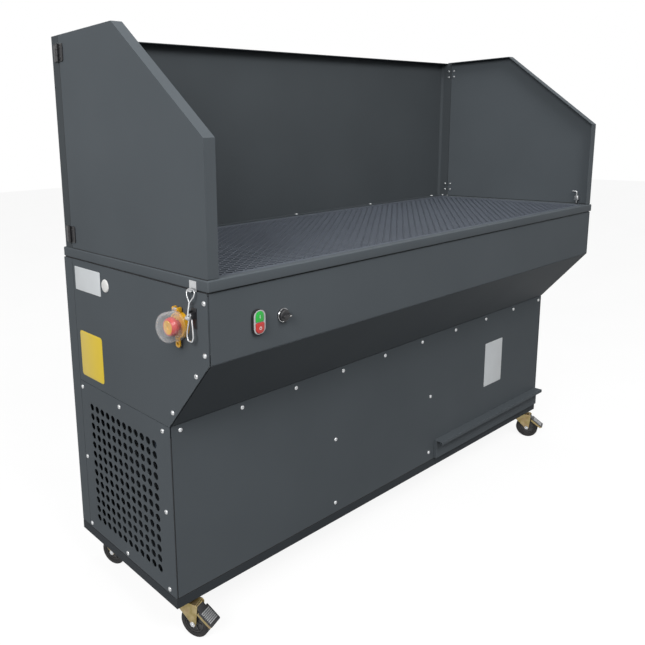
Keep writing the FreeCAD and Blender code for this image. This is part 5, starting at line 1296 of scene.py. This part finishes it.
twinSwitch = {"wide": 36.0, "tall": 58.0, "deep": 9.0, "side": 24.0, "step": 12.9, "corner": 16.0,
              "outer": 10.5, "inner": 2.5, "neck": 14.8, "neckLong": 22, "stem": 3, "stemHole": 3.3,
              "stemShare": 7 / 13, "play": 1.028, "startProud": 1.5, "stopProud": 3.0}
selector = {"neck": 14.8, "neckLong": 22, "bore": 5.1, "flange": 16.5, "flangeThick": 2.2, "ring": 16.4,
            "shaft": 5, "shaftLong": 14.7, "skirt": 14.5, "crown": 19.45,
            "grip": ((9.5, 12.6, 4.4), (13, 12.4, 4.2), (17.6, 12.0, 3.9), (19.1, 11.4, 3.4),
                     (19.6, 10.4, 2.6))}                         # height, half length and half width


def capOutlines():
    half, inner, outer = twinSwitch["side"] / 2, twinSwitch["inner"], twinSwitch["outer"]
    square = rectangle(-half, half, -half, half)
    upper = eased(square, [inner, inner, outer, outer], 6, True)
    lower = eased(square, [outer, outer, inner, inner], 6, True)
    step = Vector((0, twinSwitch["step"]))
    return [point + step for point in upper], [point - step for point in lower]


def addSwitchHousings(place, knobPlace, capHole):
    spec = twinSwitch
    deep, wide, tall = spec["deep"], spec["wide"] / 2, spec["tall"] / 2
    outline = eased(rectangle(-wide, wide, -tall, tall), spec["corner"], 10, True)
    stems = [circle(spec["stemHole"], 20, (0, way * spec["step"] * spec["stemShare"])) for way in (1, -1)]
    wider = [[centreOf(hole) + (point - centreOf(hole)) * spec["play"] for point in hole] for hole in capHole]
    shape = bmesh.new()
    plate(shape, place, [outline] + stems, deep - 5.7, 0.6)
    plate(shape, raised(place, deep - 5.9), [[point * 0.965 for point in outline]] + wider, 5.1, 0.6)
    plate(shape, raised(place, deep - 0.9), [[point * 0.95 for point in outline]] + wider, 0.9, 0.25, 1)
    plate(shape, raised(place, -spec["neckLong"]), [circle(spec["neck"], 32)] + stems,
          spec["neckLong"] + 0.3, 0.2)
    bore, neck = selector["bore"], selector["neck"]
    flange, thick = selector["flange"], selector["flangeThick"]
    bush = [(bore, -selector["neckLong"]), (neck, -selector["neckLong"]), (neck, 0), (flange, 0),
            (flange, thick), (bore, thick)]
    lathe(shape, knobPlace, bush, 48, 0, True)
    trim = [(14.9, thick), (selector["ring"], thick), (16.3, 3.2), (15.8, 4.0), (15.2, 4.0), (14.9, 3.6)]
    lathe(shape, knobPlace, trim, 56, 2, True)
    addPiece("switch_housings", shape, [black, paleRing, chrome], ["switch_bezels"])


def addButtonCap(name, place, hole, coat, proud):
    centre, deep, stem = centreOf(hole), twinSwitch["deep"], twinSwitch["stem"]
    shape = bmesh.new()
    slimmer = [centre + (point - centre) * 0.985 for point in hole]
    plate(shape, raised(place, deep - 2), [slimmer], 2 + proud - 0.35, 1.0)
    stemPlace = place @ Matrix.Translation((0, centre.y * twinSwitch["stemShare"], 0))
    lathe(shape, stemPlace, [(0, -14), (stem - 0.4, -14), (stem, -13.5), (stem, deep - 1.5), (0, deep - 1.5)],
          16)
    mark = [circle(3.7, 28), circle(2.3, 28)]                    # a bar and a ring, as on any such pair
    if name == "start_button":
        mark = [eased(rectangle(-0.8, 0.8, -3.6, 3.6), 0.5, 3, True)]
    markPlace = place @ Matrix.Translation((0, centre.y, deep + proud - 0.45))
    plate(shape, markPlace, mark, 0.35, 0.1, 1)
    addPiece(name + "_cap", shape, [coat, whiteMark], [name])


def addSelectorGrip(knobPlace):
    shaft, skirt = selector["shaft"], selector["skirt"]
    shape = bmesh.new()
    body = [(0, -selector["shaftLong"]), (shaft - 0.6, -selector["shaftLong"]),
            (shaft, 0.6 - selector["shaftLong"]), (shaft, 4.0), (skirt - 0.5, 4.4), (skirt, 5.2),
            (13.9, 9.6), (12.2, 10.8), (0, 11.0)]
    lathe(shape, knobPlace, eased(body, [0, 0, 0, 0, 0, 0.6, 1.4, 1.0, 0], 3), 48)
    rows = []
    for lift, long, wideHalf in selector["grip"]:
        bar = rectangle(-long, long, -wideHalf, wideHalf)
        rows.append(ringAt(knobPlace, eased(bar, wideHalf * 0.8, 5, True), lift))
    skin(shape, rows)
    pointer = rectangle(4.2, 9.6, -0.7, 0.7)
    plate(shape, raised(knobPlace, selector["crown"]), [eased(pointer, 0.5, 3, True)], 0.4, 0.1, 1)
    addPiece("selector_grip", shape, [black, whiteMark], ["selector_knob"])


def addSwitches():
    start, stop = benchBox("start_button"), benchBox("stop_button")
    level = (start[1].z + stop[0].z) / 2
    place = seat(((start[0].x + start[1].x) / 2, 0, level), (0, -1, 0))      # local x to the right, y up
    knobPlace = seat((jointAt["selector_knob_turn"].x, 0, level), (0, -1, 0))
    upper, lower = capOutlines()
    addSwitchHousings(place, knobPlace, (upper, lower))
    addButtonCap("start_button", place, upper, green, twinSwitch["startProud"])
    addButtonCap("stop_button", place, lower, red, twinSwitch["stopProud"])
    addSelectorGrip(knobPlace)


def centreOf(points):
    low = Vector((min(p.x for p in points), min(p.y for p in points)))
    high = Vector((max(p.x for p in points), max(p.y for p in points)))
    return (low + high) / 2


addSwitches()
print("switches")


# Toggle latch of the top frame

latchLever = {"wire": 1.8, "arm": 2.0, "reach": 6.7, "bush": 4.5, "bore": 2.1, "pin": 2.0, "long": 56}
latchBail = {"wire": 1.5, "stem": 2.0, "bush": 3.6, "bore": 2.1, "half": 4.3, "bow": 29, "out": 6.5}


def addLatchLever(pivot, pin):
    reach, arm = latchLever["reach"], latchLever["arm"]
    y, foot = pivot.y, pivot.z - latchLever["long"]
    shape = bmesh.new()
    lathe(shape, seat(pivot, (0, 1, 0)), bushOutline(latchLever["bore"], latchLever["bush"], reach), 24, 0,
          True)
    tube(shape, [(pin.x, y - reach + 2, pin.z), (pin.x, y + reach - 2, pin.z)], latchLever["pin"], 16)
    cheek = [(pivot.x + 1, pivot.z + 4), (pin.x - 2, pin.z + 2.5), (pin.x - 2, pin.z - 3),
             (pivot.x + 1, pivot.z - 4.5)]
    for start in (y - reach, y + reach - arm):
        flat = Matrix(((1, 0, 0, 0), (0, 0, 1, start), (0, 1, 0, 0), (0, 0, 0, 1)))
        plate(shape, flat, [eased(cheek, [1.5, 2, 2, 1.5], 4, True)], arm, 0.4)
    bends = ((0, -3.5, 0), (-3, -11, -36), (-3.5, -12, -46), (-4, -8, foot - pivot.z),
             (-4, 5.5, foot - pivot.z), (-3.5, 10, -46), (-3, 9.5, -36), (-2, 4.2, -14), (0, 3.5, 0))
    loop = [(pivot.x + out, y + aside, pivot.z + up) for out, aside, up in bends]
    tube(shape, eased(loop, [0, 12, 6, 4, 4, 6, 8, 12, 0], 6), latchLever["wire"], 14)
    addPiece("latch_lever_wire", shape, [zinc], ["latch_lever"])


def addLatchBail(pin, y):
    top = Vector((endFace - latchBail["out"], y, benchBox("latch_bail")[1].z - latchBail["wire"]))
    foot = Vector((pin.x, y, pin.z))
    along = top - foot
    length = along.length
    along.normalize()

    def onBail(distance, sideways):
        return foot + along * distance + Vector((0, sideways, 0))

    shape = bmesh.new()
    lathe(shape, seat(foot, (0, 1, 0)), bushOutline(latchBail["bore"], latchBail["bush"], latchBail["half"]),
          20, 0, True)
    root = onBail(length - latchBail["bow"], 0)
    tube(shape, [onBail(3.4, 0), root], latchBail["stem"], 14)
    half = ((14, 12), (5, 14), (0, 9))                           # distance below the top and half width
    bow = [root] + [onBail(length - down, wide) for down, wide in half]
    bow += [onBail(length - down, -wide) for down, wide in reversed(half)]
    tube(shape, eased(bow, [2, 9, 4, 5, 5, 4, 9], 6, True), latchBail["wire"], 12, 0, True)
    addPiece("latch_bail_wire", shape, [zinc], ["latch_bail"])


def addLatch():
    pivot = jointAt["latch_lever_hinge"]
    pin = jointAt["latch_bail_hinge"]
    addLatchLever(pivot, pin)
    addLatchBail(pin, pivot.y)


addLatch()
print("latch")


# Blank plates, plug and cable gland

def addPlates():
    face = seat((0, frontFace, 0), (0, -1, 0))                   # local x is bench x, local y is z
    end = seat((endFace, 0, 0), (-1, 0, 0))                      # local x is minus bench y
    boards = [
        ("front_plate", face, whitePlate, (495, 613, 309, 474), 3.0),
        ("end_plate", end, whitePlate, (-581, -445, 849, 913), 3.0),
        ("yellow_end_plate", end, yellowPlate, (-574, -456, 607, 735), 9.0),
    ]
    thick, edge = 0.8, 0.25
    for name, place, coat, (left, right, bottom, top), corner in boards:
        shape = bmesh.new()
        outline = rectangle(left, right, bottom, top)
        plate(shape, place, [eased(outline, corner, 5, True)], thick, edge)
        addPiece(name, shape, [coat], (), "cabinet")
    shape = bmesh.new()
    plug = [(0, -6), (9, -6), (9, 0), (17, 0), (17, 0.8), (15.4, 2.6), (9, 3.4), (0, 3.6)]
    plugAt = {"y": 420, "z": 882}
    lathe(shape, seat((endFace, plugAt["y"], plugAt["z"]), (-1, 0, 0)),
          eased(plug, [0, 1, 0, 0, 0.6, 2, 4, 0], 4), 48)
    addPiece("end_plug", shape, [whiteMark], (), "cabinet")


def addGland():
    low, high = benchBox("cable_gland")
    x, z = (low.x + high.x) / 2, (low.z + high.z) / 2
    back = benchBox("rear_panel")[1].y
    inner = low.y - back
    place = seat((x, back, z), (0, 1, 0))
    bore, cap = 6.5, high.y - back
    shape = bmesh.new()
    lathe(shape, place,
          [(bore, inner + 4), (bore + 3, inner + 4), (bore + 3, 1), (bore + 4.4, 1), (bore + 4.4, 12),
                         (bore + 5, 13), (bore + 5, cap - 5), (bore + 2.4, cap - 0.6), (bore + 1, cap),
                         (bore, cap)],
          40, 0, True)
    for start, end in ((inner, inner + 5), (0, 8)):
        rings = [ringAt(place, hexagon(size, 24), level)
                 for size, level in ((25.2, start), (26, start + 0.5), (26, end - 0.8), (24.8, end))]
        hole = [ringAt(place, circle(bore + 2.9, 24), level) for level in (end, start)]
        skin(shape, rings + hole, 0, True)
    addPiece("gland", shape, [black], ["cable_gland"])


addPlates()
addGland()
print("plates, plug and gland")
